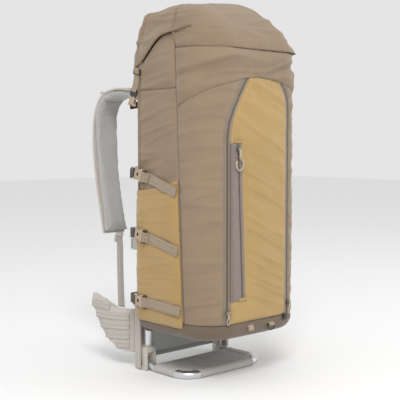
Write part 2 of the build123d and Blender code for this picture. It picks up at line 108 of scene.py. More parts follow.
def outline(run, out=0.0):
    """Point and outward direction at a distance round the bag, starting at its back left corner."""
    length = 2 * side_run + 2 * corner_run + front_run
    flip = 1
    if run > length / 2:
        run, flip = length - run, -1
    if run < 0:
        turned = max(run / BACK_R, -math.pi / 2)
        over = run - turned * BACK_R
        x = -SIDE_X + BACK_R - math.cos(turned) * BACK_R - over
        y = BACK_Y - BACK_R - math.sin(turned) * BACK_R
        nx, ny = -math.cos(turned), -math.sin(turned)
    elif run < side_run:
        x, y, nx, ny = -SIDE_X, BACK_Y - BACK_R - run, -1, 0
    elif run < side_run + corner_run:
        turned = (run - side_run) / CORNER_R
        x = -SIDE_X + CORNER_R * (1 - math.cos(turned))
        y = FRONT_Y + CORNER_R * (1 - math.sin(turned))
        nx, ny = -math.cos(turned), -math.sin(turned)
    else:
        x, y, nx, ny = -SIDE_X + CORNER_R + run - side_run - corner_run, FRONT_Y, 0, -1
    return Vector((flip * (x + nx * out), y + ny * out)), Vector((flip * nx, ny))


def run_at_x(x):
    """Distance round the bag at which its front or front corner has this x."""
    inner = SIDE_X - CORNER_R
    if abs(x) <= inner:
        return side_run + corner_run + inner + x
    reach = side_run + CORNER_R * math.acos(min((abs(x) - inner) / CORNER_R, 1))
    return reach if x < 0 else 2 * side_run + 2 * corner_run + front_run - reach


def folds(run, height, seed, size=1.0, lean=-0.14):
    """Height of the cloth's folds: long creases about 30 mm apart, and finer ones on them."""
    tilt = height + lean * run + 0.012 * noise.noise(Vector((run * 9, height * 4, seed + 20)))
    broad = noise.noise(Vector((run * 6, tilt * 24, seed)))
    crease = 1 - abs(noise.noise(Vector((run * 4 + 9, tilt * 30, seed + 4)))) * 3.4
    fine = noise.noise(Vector((run * 20, tilt * 66, seed + 8)))
    return size * (0.0058 * broad + 0.0034 * max(crease, 0) ** 2 + 0.0010 * fine)


def mesh_piece(name, points, faces, finish, uvs=None, smooth=True):
    """A new piece at the origin, from its points and faces."""
    mesh = bpy.data.meshes.new(name)
    mesh.from_pydata([tuple(p) for p in points], [], faces)
    mesh.materials.append(finish)
    if uvs is not None:
        layer = mesh.uv_layers.new(name="cloth")
        for loop in mesh.loops:
            layer.data[loop.index].uv = uvs[loop.vertex_index]
    if smooth:
        mesh.polygons.foreach_set("use_smooth", [True] * len(mesh.polygons))
    mesh.update()
    piece = bpy.data.objects.new(name, mesh)
    scene.collection.objects.link(piece)
    return piece


def grid_faces(rows, columns):
    """Faces of a grid of points, rows first."""
    return [
        (r * columns + c, r * columns + c + 1, (r + 1) * columns + c + 1, (r + 1) * columns + c)
        for r in range(rows - 1) for c in range(columns - 1)
    ]


def sewn(piece, wall, body, *nodes):
    """Gives a sheet of cloth its thickness, and sets it on its body in place of its nodes."""
    skin = piece.modifiers.new("cloth_thickness", "SOLIDIFY")
    skin.thickness = wall
    skin.offset = -1
    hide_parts(*nodes)
    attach(piece, body)


CLOTH_T = 0.0016
SEAM_SINK = 0.0032
SEAM_REACH = 0.007


def bag_panel(name, finish, slot, low, high, left, right, seed, crumple=1.0, swell=0.0, gather=0.0,
              lean=-0.14, flat_line=None):
    """A sewn panel. low and high give its height at a run, left and right its run at a height."""
    middle = (low(0.5) + high(0.5)) / 2
    wide = right(middle) - left(middle)
    columns = max(int(wide / 0.0035), 8)
    rows = max(int((high(0.5) - low(0.5)) / 0.0035), 8)
    points, uvs = [], []
    for row in range(rows):
        v = row / (rows - 1)
        for column in range(columns):
            u = column / (columns - 1)
            height = low(u) + v * (high(u) - low(u))
            run = left(height) + u * (right(height) - left(height))
            span = right(height) - left(height)
            from_top = (1 - v) * (high(u) - low(u))
            near = min(u * span, (1 - u) * span, v * (high(u) - low(u)), from_top)
            sink = SEAM_SINK * max(1 - near / SEAM_REACH, 0) ** 2
            pucker = 0.0030 * noise.noise(Vector((run * 25, height * 72,
                                                  seed))) * math.exp(-near / 0.022) * min(near / 0.006, 1)
            calm = min(near / 0.016, 1)
            out = folds(run, height, seed, crumple, lean) * calm
            out += swell * math.sin(math.pi * u) * math.sin(math.pi * min(max(v, 0), 1)) ** 0.6
            out += gather * noise.noise(Vector((run * 62, height * 16,
                                                seed + 2))) * math.exp(-from_top / 0.035) * calm
            if flat_line:
                aside_line = abs(run - run_at_x(along(flat_line, height)))
                out *= 1 - math.exp(-(aside_line / 0.021) ** 4)
            out += pucker - sink
            flat, _ = outline(run, out)
            points.append((flat.x, flat.y, height))
            uvs.append((run, height))
    return mesh_piece(name, points, grid_faces(rows, columns), finish, uvs)


def link_from(tree, value, socket):
    """Joins a socket, or sets a number, on an input."""
    if isinstance(value, bpy.types.NodeSocket):
        tree.links.new(value, socket)
    else:
        socket.default_value = value


def maths(tree, operation, *values):
    node = tree.nodes.new("ShaderNodeMath")
    node.operation = operation
    for value, socket in zip(values, node.inputs):
        link_from(tree, value, socket)
    return node.outputs[0]


def new_group(name, inputs, outputs):
    """A shader node group with named inputs and outputs, and its two end nodes."""
    tree = bpy.data.node_groups.new(name, "ShaderNodeTree")
    for label, kind, value in inputs:
        socket = tree.interface.new_socket(label, in_out="INPUT", socket_type=kind)
        if value is not None:
            socket.default_value = value
    for label, kind in outputs:
        tree.interface.new_socket(label, in_out="OUTPUT", socket_type=kind)
    return tree, tree.nodes.new("NodeGroupInput"), tree.nodes.new("NodeGroupOutput")


def weave_group():
    """Plain weave with heathered yarn, faded patches and fine creases, and painted shade in the low crossings of
    the weave.
    """
    tree, start, end = new_group(
        "plain_weave",
        [("Place", "NodeSocketVector", None), ("Yarn", "NodeSocketFloat", 0.0009),
         ("Colour", "NodeSocketColor", (0.3, 0.2, 0.1, 1)),
         ("Shade", "NodeSocketColor", (0.2, 0.15, 0.1, 1)),
         ("Crease", "NodeSocketFloat", 0.3), ("Depth", "NodeSocketFloat", 0.3)],
        [("Colour", "NodeSocketColor"), ("Roughness", "NodeSocketFloat"), ("Normal", "NodeSocketVector")],
    )
    split = tree.nodes.new("ShaderNodeSeparateXYZ")
    tree.links.new(start.outputs["Place"], split.inputs[0])
    turns = maths(tree, "DIVIDE", math.pi, start.outputs["Yarn"])
    across = maths(tree, "SINE", maths(tree, "MULTIPLY",
                                       maths(tree, "ADD", split.outputs[0], split.outputs[2]), turns))
    along = maths(tree, "SINE", maths(tree, "MULTIPLY",
                                      maths(tree, "SUBTRACT", split.outputs[1], split.outputs[2]), turns))
    weave = maths(tree, "MULTIPLY", across, along)
    noises = []
    for scale, detail, rough in ((7, 3, 0.6), (900, 2, 0.7), (70, 4, 0.62)):
        grain = tree.nodes.new("ShaderNodeTexNoise")
        grain.inputs["Scale"].default_value = scale
        grain.inputs["Detail"].default_value = detail
        grain.inputs["Roughness"].default_value = rough
        tree.links.new(start.outputs["Place"], grain.inputs["Vector"])
        noises.append(grain.outputs["Fac"])
    patches, heather, crumple = noises
    mixing = maths(tree, "ADD", maths(tree, "MULTIPLY", patches, 0.55),
                   maths(tree, "MULTIPLY", heather, 0.35))
    # The weave's height also tints the cloth: painted shade, darker in the low crossings and lighter on the
    # raised ones.
    mixing = maths(tree, "ADD", mixing, maths(tree, "MULTIPLY", weave, 0.10))
    blend = tree.nodes.new("ShaderNodeMix")
    blend.data_type = "RGBA"
    tree.links.new(mixing, blend.inputs["Factor"])
    tree.links.new(start.outputs["Shade"], blend.inputs["A"])
    tree.links.new(start.outputs["Colour"], blend.inputs["B"])
    relief = maths(tree, "ADD", maths(tree, "MULTIPLY", weave, 0.00022), maths(tree, "MULTIPLY", maths(
        tree, "MULTIPLY", crumple, start.outputs["Crease"]), 0.008))
    bump = tree.nodes.new("ShaderNodeBump")
    bump.inputs["Distance"].default_value = 1.0
    tree.links.new(start.outputs["Depth"], bump.inputs["Strength"])
    tree.links.new(relief, bump.inputs["Height"])
    gloss = maths(tree, "ADD", 0.62, maths(tree, "MULTIPLY", heather, 0.25))
    tree.links.new(blend.outputs["Result"], end.inputs["Colour"])
    tree.links.new(gloss, end.inputs["Roughness"])
    tree.links.new(bump.outputs["Normal"], end.inputs["Normal"])
    return tree


plain_weave = weave_group()


def grouped(name, group, coordinates, **settings):
    """A finish that takes its colour, roughness and relief from a shader group."""
    finish = bpy.data.materials.new(name)
    finish.use_nodes = True
    tree = finish.node_tree
    shader = tree.nodes["Principled BSDF"]
    where = tree.nodes.new("ShaderNodeTexCoord")
    look = tree.nodes.new("ShaderNodeGroup")
    look.node_tree = group
    tree.links.new(where.outputs[coordinates], look.inputs["Place"])
    for label, value in settings.items():
        look.inputs[label.capitalize()].default_value = value
    for label, socket in (("Colour", "Base Color"), ("Roughness", "Roughness"), ("Normal", "Normal")):
        tree.links.new(look.outputs[label], shader.inputs[socket])
    return finish, shader


def cloth(name, colour, yarn=0.0009, crease=0.3, depth=0.5, sheen=0.25, on_uv=True, dark=0.72):
    """A woven cloth finish, on the piece's own cloth map or on its own coordinates."""
    finish, shader = grouped(name, plain_weave, "UV" if on_uv else "Object", yarn=yarn, crease=crease,
                             depth=depth,
                             colour=(*[min(c * 1.16, 1) for c in colour], 1),
                             shade=(*[c * dark for c in colour], 1))
    shader.inputs["Sheen Weight"].default_value = sheen
    shader.inputs["Sheen Roughness"].default_value = 0.5
    shader.inputs["Specular IOR Level"].default_value = 0.25
    return finish


brown_cloth = cloth("brown_nylon", (0.285, 0.206, 0.135))
dark_cloth = cloth("dark_nylon", (0.160, 0.118, 0.083), yarn=0.0012, crease=0.4)
gold_cloth = cloth("gold_nylon", (0.44, 0.292, 0.112), crease=0.22)

# Heights and runs of the seams. The side seam leans: it is further forward at the bottom.
RIM_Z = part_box("bottom_panel")[1].z
SIDE_SEAM_Z = 0.705
whole_run = 2 * side_run + 2 * corner_run + front_run
ARCH_HALF = [(0.1377, 0.660), (0.193, 0.683), (0.244, 0.705), (0.304, 0.721), (0.332, 0.727)]
ARCH = [*ARCH_HALF, (whole_run / 2, 0.731), *[(whole_run - run, z) for run, z in reversed(ARCH_HALF)]]
LEFT_ZIP = [(RIM_Z, -0.105), (0.590, -0.105), (0.620, -0.101), (0.652, -0.089), (0.688, -0.069),
            (0.732, -0.041)]
RIGHT_ZIP = [(RIM_Z, 0.105), (0.600, 0.105), (0.650, 0.106), (0.680, 0.102), (0.704, 0.092), (0.718, 0.081),
             (0.732, 0.064)]
ZIP_HALF = 0.009


def seam_run(height):
    """Distance of the left side seam from the back corner at a height."""
    return 0.1592 - 0.0472 * (height - 0.184)


def far_seam_run(height):
    return whole_run - seam_run(height)


def along(points, value):
    """Value of a line of (place, value) points at a place."""
    return float(np.interp(value, [p[0] for p in points], [p[1] for p in points]))


def zip_run(points, height):
    return run_at_x(along(points, height))


# Side panels: one piece of brown cloth on each side, from the back corner to the side seam.
for side, label in ((-1, "left"), (1, "right")):
    if side < 0:
        ends = (lambda z: 0.0, seam_run)
    else:
        ends = (far_seam_run, lambda z: whole_run)
    panel = bag_panel(f"side_panel_{label}_skin", brown_cloth, "brown_cloth", lambda u: RIM_Z,
                      lambda u: SIDE_SEAM_Z, *ends, seed=3 + side, swell=0.002)
    sewn(panel, CLOTH_T, "pack", f"side_panel_{label}")

# Front side panels: brown cloth round the front corners, up to the arched seam of the yoke.
ARCH_FOOT_Z = ARCH[0][1]
for side, label in ((-1, "left"), (1, "right")):
    if side < 0:
        ends = (seam_run, lambda z: zip_run(LEFT_ZIP, z) - ZIP_HALF)
        top = lambda u: along(ARCH, seam_run(ARCH_FOOT_Z) + u * (run_at_x(-0.05) - seam_run(ARCH_FOOT_Z)))
    else:
        ends = (lambda z: zip_run(RIGHT_ZIP, z) + ZIP_HALF, far_seam_run)
        top = lambda u: along(ARCH, run_at_x(0.075) + u * (far_seam_run(ARCH_FOOT_Z) - run_at_x(0.075)))
    panel = bag_panel(f"front_panel_{label}_skin", brown_cloth, "brown_cloth", lambda u: RIM_Z, top, *ends,
                      seed=14 + 3 * side, crumple=0.95 if side < 0 else 0.5)
    sewn(panel, CLOTH_T, "pack", f"front_panel_{label}")

# Centre panel: gold cloth between the two main zips, fuller than the rest, and gathered
# where the arched seam crosses its top.
center_skin = bag_panel("center_panel_skin", gold_cloth, "gold_cloth", lambda u: RIM_Z,
                        lambda u: along(ARCH, run_at_x(-0.032 + 0.1 * u)) + 0.002,
                        lambda z: zip_run(LEFT_ZIP, z) + ZIP_HALF,
                        lambda z: zip_run(RIGHT_ZIP, z) - ZIP_HALF,
                        seed=23, crumple=0.9, swell=0.006, gather=0.008, lean=0.4,
                        flat_line=[(0.20, -0.059), (0.585, -0.075), (0.62, -0.2)])
sewn(center_skin, CLOTH_T, "pack", "center_panel")

# Main zips: a woven tape sewn under the edges of the gold panel, with a coil down its middle.
# The left one leans in towards the top of the arch sooner than the right one.
def stepped_tree(name, shape):
    """Geometry nodes that set one small shape after another along a line."""
    tree = bpy.data.node_groups.new(name, "GeometryNodeTree")
    tree.interface.new_socket("Line", in_out="INPUT", socket_type="NodeSocketGeometry")
    for label, value in (("Spacing", 0.003), ("Across", 0.001), ("Deep", 0.001), ("Length", 0.002)):
        tree.interface.new_socket(label, in_out="INPUT",
                                  socket_type="NodeSocketFloat").default_value = value
    tree.interface.new_socket("Finish", in_out="INPUT", socket_type="NodeSocketMaterial")
    tree.interface.new_socket("Pieces", in_out="OUTPUT", socket_type="NodeSocketGeometry")
    start, end = tree.nodes.new("NodeGroupInput"), tree.nodes.new("NodeGroupOutput")
    curve = tree.nodes.new("GeometryNodeMeshToCurve")
    steps = tree.nodes.new("GeometryNodeResampleCurve")
    steps.mode = "LENGTH"
    tangent = tree.nodes.new("GeometryNodeInputTangent")
    aim_node = tree.nodes.new("FunctionNodeAlignRotationToVector")
    aim_node.axis = "Z"
    place = tree.nodes.new("GeometryNodeInstanceOnPoints")
    size = tree.nodes.new("ShaderNodeCombineXYZ")
    real = tree.nodes.new("GeometryNodeRealizeInstances")
    paint = tree.nodes.new("GeometryNodeSetMaterial")
    join = tree.links.new
    join(start.outputs["Line"], curve.inputs["Mesh"])
    join(curve.outputs["Curve"], steps.inputs["Curve"])
    join(start.outputs["Spacing"], steps.inputs["Length"])
    join(steps.outputs["Curve"], place.inputs["Points"])
    join(tangent.outputs["Tangent"], aim_node.inputs["Vector"])
    join(aim_node.outputs["Rotation"], place.inputs["Rotation"])
    for label, axis in (("Across", "X"), ("Deep", "Y"), ("Length", "Z")):
        join(start.outputs[label], size.inputs[axis])
    if shape == "stitch":
        bead = tree.nodes.new("GeometryNodeMeshIcoSphere")
        bead.inputs["Radius"].default_value = 0.5
        bead.inputs["Subdivisions"].default_value = 2
    else:
        bead = tree.nodes.new("GeometryNodeMeshCylinder")
        bead.inputs["Vertices"].default_value = 8
        bead.inputs["Radius"].default_value = 0.5
        bead.inputs["Depth"].default_value = 1.0
    join(bead.outputs["Mesh"], place.inputs["Instance"])
    join(size.outputs["Vector"], place.inputs["Scale"])
    join(place.outputs["Instances"], real.inputs["Geometry"])
    join(real.outputs["Geometry"], paint.inputs["Geometry"])
    join(start.outputs["Finish"], paint.inputs["Material"])
    join(paint.outputs["Geometry"], end.inputs["Pieces"])
    return tree


stitch_steps = stepped_tree("stitches_along", "stitch")
tooth_steps = stepped_tree("teeth_along", "tooth")


def made(piece):
    """The piece with its modifiers turned into plain mesh."""
    bpy.context.view_layer.update()
    mesh = bpy.data.meshes.new_from_object(piece.evaluated_get(bpy.context.evaluated_depsgraph_get()))
    piece.modifiers.clear()
    piece.data = mesh
    return piece


def repeat_along(name, lines, tree, finish, slot, body, **sizes):
    """One piece made of small shapes set along each of the lines."""
    points, edges = [], []
    for line in lines:
        base = len(points)
        points += [tuple(p) for p in line]
        edges += [(base + i, base + i + 1) for i in range(len(line) - 1)]
    mesh = bpy.data.meshes.new(name)
    mesh.from_pydata(points, edges, [])
    piece = bpy.data.objects.new(name, mesh)
    scene.collection.objects.link(piece)
    steps = piece.modifiers.new("steps", "NODES")
    steps.node_group = tree
    sockets = {s.name: s.identifier for s in tree.interface.items_tree if s.in_out == "INPUT"}
    for label, value in sizes.items():
        steps[sockets[label.capitalize()]] = value
    steps[sockets["Finish"]] = finish
    made(piece)
    piece.data.polygons.foreach_set("use_smooth", [True] * len(piece.data.polygons))
    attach(piece, body)
    return piece


def webbing(name, colour, rib=0.0022, rough=0.62):
    """Woven webbing: ribs across the strap, from the strap's own map."""
    finish = cloth(name, colour, yarn=0.0011, crease=0.12, depth=0.7, sheen=0.3)
    tree = finish.node_tree
    shader = tree.nodes["Principled BSDF"]
    where = next(n for n in tree.nodes if n.type == "TEX_COORD")
    split = tree.nodes.new("ShaderNodeSeparateXYZ")
    tree.links.new(where.outputs["UV"], split.inputs[0])
    slant = maths(tree, "ADD", split.outputs[1],
                  maths(tree, "MULTIPLY", maths(tree, "ABSOLUTE", split.outputs[0]), 0.8))
    ribs = maths(tree, "SINE", maths(tree, "MULTIPLY", slant, 2 * math.pi / rib))
    bump = tree.nodes.new("ShaderNodeBump")
    bump.inputs["Strength"].default_value = rough
    bump.inputs["Distance"].default_value = 0.0004
    weave = next(n for n in tree.nodes if n.type == "GROUP")
    tree.links.new(ribs, bump.inputs["Height"])
    tree.links.new(weave.outputs["Normal"], bump.inputs["Normal"])
    tree.links.new(bump.outputs["Normal"], shader.inputs["Normal"])
    return finish


zip_tape_cloth = webbing("zip_tape_taupe", (0.30, 0.235, 0.175), rib=0.0012)
coil_nylon = webbing("zip_coil_nylon", (0.17, 0.13, 0.10), rib=0.0009)
thread = cloth("sewing_thread", (0.20, 0.145, 0.095), crease=0, on_uv=False)

ZIP_LOW_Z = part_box("main_zip_left")[0].z + 0.004
for label, zip_line, top in (("left", LEFT_ZIP, 0.729), ("right", RIGHT_ZIP, 0.728)):
    heights = np.arange(ZIP_LOW_Z - 0.004, top, 0.004)
    points, uvs = [], []
    for z in heights:
        middle = zip_run(zip_line, z)
        for across in np.linspace(-1, 1, 9):
            reach = across * (ZIP_HALF + 0.0035)
            lift = -0.0022 + 0.0008 * (abs(across) < 0.55)
            flat, _ = outline(middle + reach, lift)
            points.append((flat.x, flat.y, z))
            uvs.append((reach, z))
    tape = mesh_piece(f"main_zip_{label}_tape", points, grid_faces(len(heights), 9), zip_tape_cloth,
                      uvs)
    sewn(tape, 0.0008, "pack", f"main_zip_{label}")
    for flank in (-1, 1):
        line = []
        for z in heights:
            flat, _ = outline(zip_run(zip_line, z) + flank * 0.0012, -0.0006)
            line.append((flat.x, flat.y, z))
        repeat_along(f"main_zip_{label}_coil_{'inner' if flank > 0 else 'outer'}", [line], tooth_steps,
                     coil_nylon,
                     "zip_tape", "pack", spacing=0.0017, across=0.0026, deep=0.0016, length=0.0011)


# Yoke: the collar of the bag. A front piece over the arched seam, and a side piece on each
# side that rises under the end of the rolled top.
HEM = [(-0.019, 0.757), (0.0, 0.764), (0.018, 0.777), (0.034, 0.792), (0.048, 0.805), (0.062, 0.817),
       (0.076, 0.826), (0.092, 0.832),
       (0.127, 0.837), (0.183, 0.845)]
COLLAR_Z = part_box("yoke_panel")[1].z
panel = bag_panel("yoke_front_skin", brown_cloth, "brown_cloth",
                  lambda u: along(ARCH, seam_run(ARCH_FOOT_Z) + u
                                  * (whole_run - 2 * seam_run(ARCH_FOOT_Z))) - 0.0003,
                  lambda u: COLLAR_Z + 0.0025, seam_run, far_seam_run, seed=31, crumple=2.0)
sewn(panel, CLOTH_T, "pack", "yoke_panel")
for side, label in ((-1, "left"), (1, "right")):
    if side < 0:
        ends = (lambda z: 0.0, lambda z: seam_run(z) + 0.0002)
        top = lambda u: along(HEM, u * seam_run(0.83)) + 0.001
    else:
        ends = (lambda z: far_seam_run(z) - 0.0002, lambda z: whole_run)
        top = lambda u: along(HEM, (1 - u) * seam_run(0.83)) + 0.001
    panel = bag_panel(f"yoke_side_{label}_skin", brown_cloth, "brown_cloth", lambda u: SIDE_SEAM_Z - 0.0003,
                      top, *ends, seed=37 + side, crumple=1.1)
    sewn(panel, CLOTH_T, "pack", "yoke_panel")


# Back panel: one dark piece across the back, round both back corners.
half_back = BACK_R * math.pi / 2 + SIDE_X - BACK_R


def back_outline(reach, out=0.0):
    """Point and direction across the back, measured from its middle."""
    if reach <= 0:
        return outline(-(half_back + reach), out)
    return outline(whole_run + half_back - reach, out)


def plain_panel(name, finish, low, high, ends, around, seed, crumple=1.0, step=0.006):
    """A sewn panel on any outline, between two heights and two distances along it."""
    columns = max(int((ends[1] - ends[0]) / step), 6)
    rows = max(int((high(0.5) - low(0.5)) / step), 6)
    points, uvs = [], []
    for row in range(rows):
        v = row / (rows - 1)
        for column in range(columns):
            u = column / (columns - 1)
            reach = ends[0] + u * (ends[1] - ends[0])
            height = low(u) + v * (high(u) - low(u))
            near = min(u * (ends[1] - ends[0]), (1 - u) * (ends[1] - ends[0]), v * (high(u) - low(u)))
            sink = SEAM_SINK * max(1 - near / SEAM_REACH, 0) ** 2
            flat, _ = around(reach, folds(reach, height, seed, crumple) * min(near / 0.02, 1) - sink)
            points.append((flat.x, flat.y, height))
            uvs.append((reach, height))
    return mesh_piece(name, points, grid_faces(rows, columns), finish, uvs)


panel = plain_panel("back_panel_skin", brown_cloth, lambda u: RIM_Z, lambda u: 0.768,
                    (-half_back, half_back), back_outline, seed=41, crumple=0.25)
sewn(panel, CLOTH_T, "pack", "back_panel")


# Bottom: a shallow tub of heavy dark cloth, rounded under, sewn to the lower edge of the walls.
BOTTOM_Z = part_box("bottom_panel")[0].z
UNDER_R = 0.030
loop_length = whole_run + 2 * half_back


def whole_outline(run, out=0.0):
    if run <= whole_run:
        return outline(run, out)
    return back_outline(half_back - (run - whole_run), out)


rings = [(RIM_Z - 0.0005, -SEAM_SINK), (RIM_Z - 0.004, -0.0012), (RIM_Z - 0.010, 0.0)]
for step in range(9):
    bend = step / 8 * math.pi / 2
    rings.append((BOTTOM_Z + UNDER_R * (1 - math.sin(bend)), -UNDER_R * (1 - math.cos(bend))))
columns = int(loop_length / 0.006)
points, uvs, faces = [], [], []
for height, out in rings:
    for column in range(columns):
        run = loop_length * column / columns
        flat, _ = whole_outline(run, out + folds(run, height, 47, 0.3) * (out < 0.001))
        points.append((flat.x, flat.y, height))
        uvs.append((run, height))
centre = Vector((0, (BACK_Y + FRONT_Y) / 2, BOTTOM_Z))
for shrink in (0.85, 0.65, 0.4, 0.15):
    for column in range(columns):
        flat, _ = whole_outline(loop_length * column / columns, -UNDER_R)
        spot = centre.lerp(Vector((flat.x, flat.y, BOTTOM_Z)), shrink)
        sag = 0.004 * noise.noise(spot * 14)
        points.append((spot.x, spot.y, BOTTOM_Z + abs(sag)))
        uvs.append((spot.x, spot.y))
points.append(tuple(centre))
uvs.append((0, 0))
levels = len(rings) + 4
for level in range(levels - 1):
    for column in range(columns):
        a, b = level * columns + column, level * columns + (column + 1) % columns
        faces.append((a, a + columns, b + columns, b))
last = (levels - 1) * columns
faces += [(last + c, len(points) - 1, last + (c + 1) % columns) for c in range(columns)]
tub = mesh_piece("bottom_tub", points, faces, dark_cloth, uvs)
sewn(tub, 0.002, "pack", "bottom_panel")


# Rolled top: the collar cloth drawn over, rolled and strapped down into a soft hood. Its ends
# are fuller, and hang over the side pieces of the yoke as a thick rolled hem.
HOOD_LOW_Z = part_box("roll_hood")[0].z
RIDGE_Y = -0.122
RIDGE_LEFT_X, RIDGE_RIGHT_X = -0.132, 0.090
CROWN = [(-0.135, 0.899), (-0.116, 0.907), (-0.047, 0.918), (0.035, 0.920), (0.108, 0.908)]
# how square the hood stands over its hem, by the direction that it faces
FULLNESS = [(-180, 3.0), (-150, 2.7), (-115, 2.1), (-90, 1.85), (-60, 1.38), (-40, 1.25), (0, 1.45),
            (60, 2.4),
            (90, 2.8), (180, 3.0)]


def near_run(run):
    """The run measured from the nearer back corner, the same on both sides of the bag."""
    return min(run, whole_run - run) if 0 <= run <= whole_run else -0.019


def hood_point(run, rise):
    """Point of the hood and its outward direction: rise goes from 0 at its hem to 1 on its ridge."""
    flat, facing = whole_outline(run, 0.0)
    beside = near_run(run)
    hem_z = along(HEM, beside) if beside < seam_run(HOOD_LOW_Z) else HOOD_LOW_Z - 0.0006
    ridge_x = along([(-SIDE_X, RIDGE_LEFT_X), (SIDE_X, RIDGE_RIGHT_X)], flat.x)
    crown = along(CROWN, ridge_x)
    fullness = along(FULLNESS, math.degrees(math.atan2(facing.y, facing.x)))
    bend = rise * math.pi / 2
    inward = 1 - math.cos(bend) ** (2 / fullness)
    upward = math.sin(bend) ** (2 / fullness)
    flat = flat.lerp(Vector((ridge_x, RIDGE_Y)), inward)
    return Vector((flat.x, flat.y, hem_z + (crown - hem_z) * upward)), facing


def near_line(spot, start, end, reach):
    """1 on the line between two points of the side, seen from the side, falling to 0 at its reach."""
    here, low, high = Vector((spot.y, spot.z)), Vector(start), Vector(end)
    share = min(max((here - low).dot(high - low) / (high - low).length_squared, 0), 1)
    return math.exp(-((here - low.lerp(high, share)).length / reach) ** 2)


columns = int(loop_length / 0.0036)
levels = 64
points, uvs, faces = [], [], []
for level in range(levels):
    rise = level / (levels - 1)
    for column in range(columns):
        run = loop_length * column / columns
        spot, facing = hood_point(run, rise)
        beside = near_run(run)
        hem_z = along(HEM, beside)
        over_side = beside < seam_run(HOOD_LOW_Z)
        flank = max(abs(facing.x) - 0.3, 0) / 0.7
        hang = 0.0075 * math.exp(-(max(spot.z - hem_z - 0.008, 0) / 0.030) ** 2) if over_side else 0
        if not over_side and beside < 0.190:
            fade = min((0.190 - beside) / 0.045, 1)
            hang = fade * (0.0065 * math.exp(-(max(spot.z - hem_z,
                                                   0) / 0.028) ** 2) if spot.z > hem_z else -0.0015)
        drape = 0.0048 * noise.noise(Vector((spot.x * 5, spot.y * 13, spot.z * 30 + 3)))
        drape += 0.0024 * (1 - abs(noise.noise(Vector((spot.x * 9 + 5, spot.y * 8, spot.z * 52)))) * 3)
        gathers = (0.0016 + 0.0034 * max(spot.x, 0) / SIDE_X) * math.exp(-rise / 0.17)
        gathers *= noise.noise(Vector((run * 80, rise * 4, 51)))
        calm = math.sin(math.pi * min(rise * 1.6 + 0.12, 0.5))
        behind = 0.013 * max(facing.y, 0) * math.exp(-((rise - 0.4) / 0.35) ** 2)
        hang += 0.011 * max(0.73 * facing.x - 0.68 * facing.y, 0) ** 3 * math.exp(-rise / 0.12)
        tuck = -0.0055 * flank * near_line(spot, (-0.026, 0.800), (-0.004, 0.858), 0.0045) * (spot.x < 0)
        tuck -= 0.003 * flank * near_line(spot, (-0.040, 0.822), (-0.028, 0.846), 0.004)
        push = hang + drape * calm + gathers + behind + tuck
        if not over_side:
            push -= SEAM_SINK * math.exp(-rise * 40)
        out = Vector((facing.x * (1 - rise), facing.y * (1 - rise), rise + 0.05)).normalized()
        spot += out * push
        points.append(tuple(spot))
        uvs.append((run, spot.z + rise * 0.15))
for level in range(levels - 1):
    for column in range(columns):
        a, b = level * columns + column, level * columns + (column + 1) % columns
        faces.append((a, b, b + columns, a + columns))
hood = mesh_piece("rolled_top_hood", points, faces, brown_cloth, uvs)
merge = bmesh.new()
merge.from_mesh(hood.data)
bmesh.ops.remove_doubles(merge, verts=merge.verts, dist=0.0004)
merge.to_mesh(hood.data)
merge.free()
sewn(hood, 0.003, "rolled_top", "roll_hood", "collar_roll")


# Stretch pockets: a flat gold pocket on each side, sewn down at its lower and side edges,
# with a turned hem along its open top. The compression straps press two channels into it.
stretch_cloth = cloth("stretch_gold", (0.42, 0.272, 0.10), yarn=0.0007, crease=0.25, sheen=0.35)
POCKET_LOW_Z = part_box("side_pocket_left")[0].z
POCKET_RUNS = (-0.012, 0.0)
POCKET_TOP = [(-0.012, 0.459), (0.050, 0.466), (0.100, 0.474), (0.143, 0.489)]
STRAP_HEIGHTS = [(0.499, 0.460), (0.352, 0.322), (0.189, 0.181)]
STRAP_Y = (-0.041, -0.173)


def strap_height(row, y):
    """Height of a compression strap where it passes a place along the bag."""
    return row[0] + (row[1] - row[0]) * (y - STRAP_Y[0]) / (STRAP_Y[1] - STRAP_Y[0])


def pocket_out(beside, height):
    """How far the pocket stands off the bag."""
    edge = min(beside + 0.013, seam_run(height) - beside, height - POCKET_LOW_Z)
    lift = 0.0012 + 0.0095 * min(max(edge / 0.028, 0), 1) ** 0.6
    pressed = min(abs(height - strap_height(row, BACK_Y - BACK_R - beside)) for row in STRAP_HEIGHTS[1:])
    lift *= 1 - 0.26 * math.exp(-(pressed / 0.016) ** 4)
    top = along(POCKET_TOP, beside)
    lift *= 1 - 0.34 * math.exp(-((top - height) / 0.022) ** 2)
    return lift


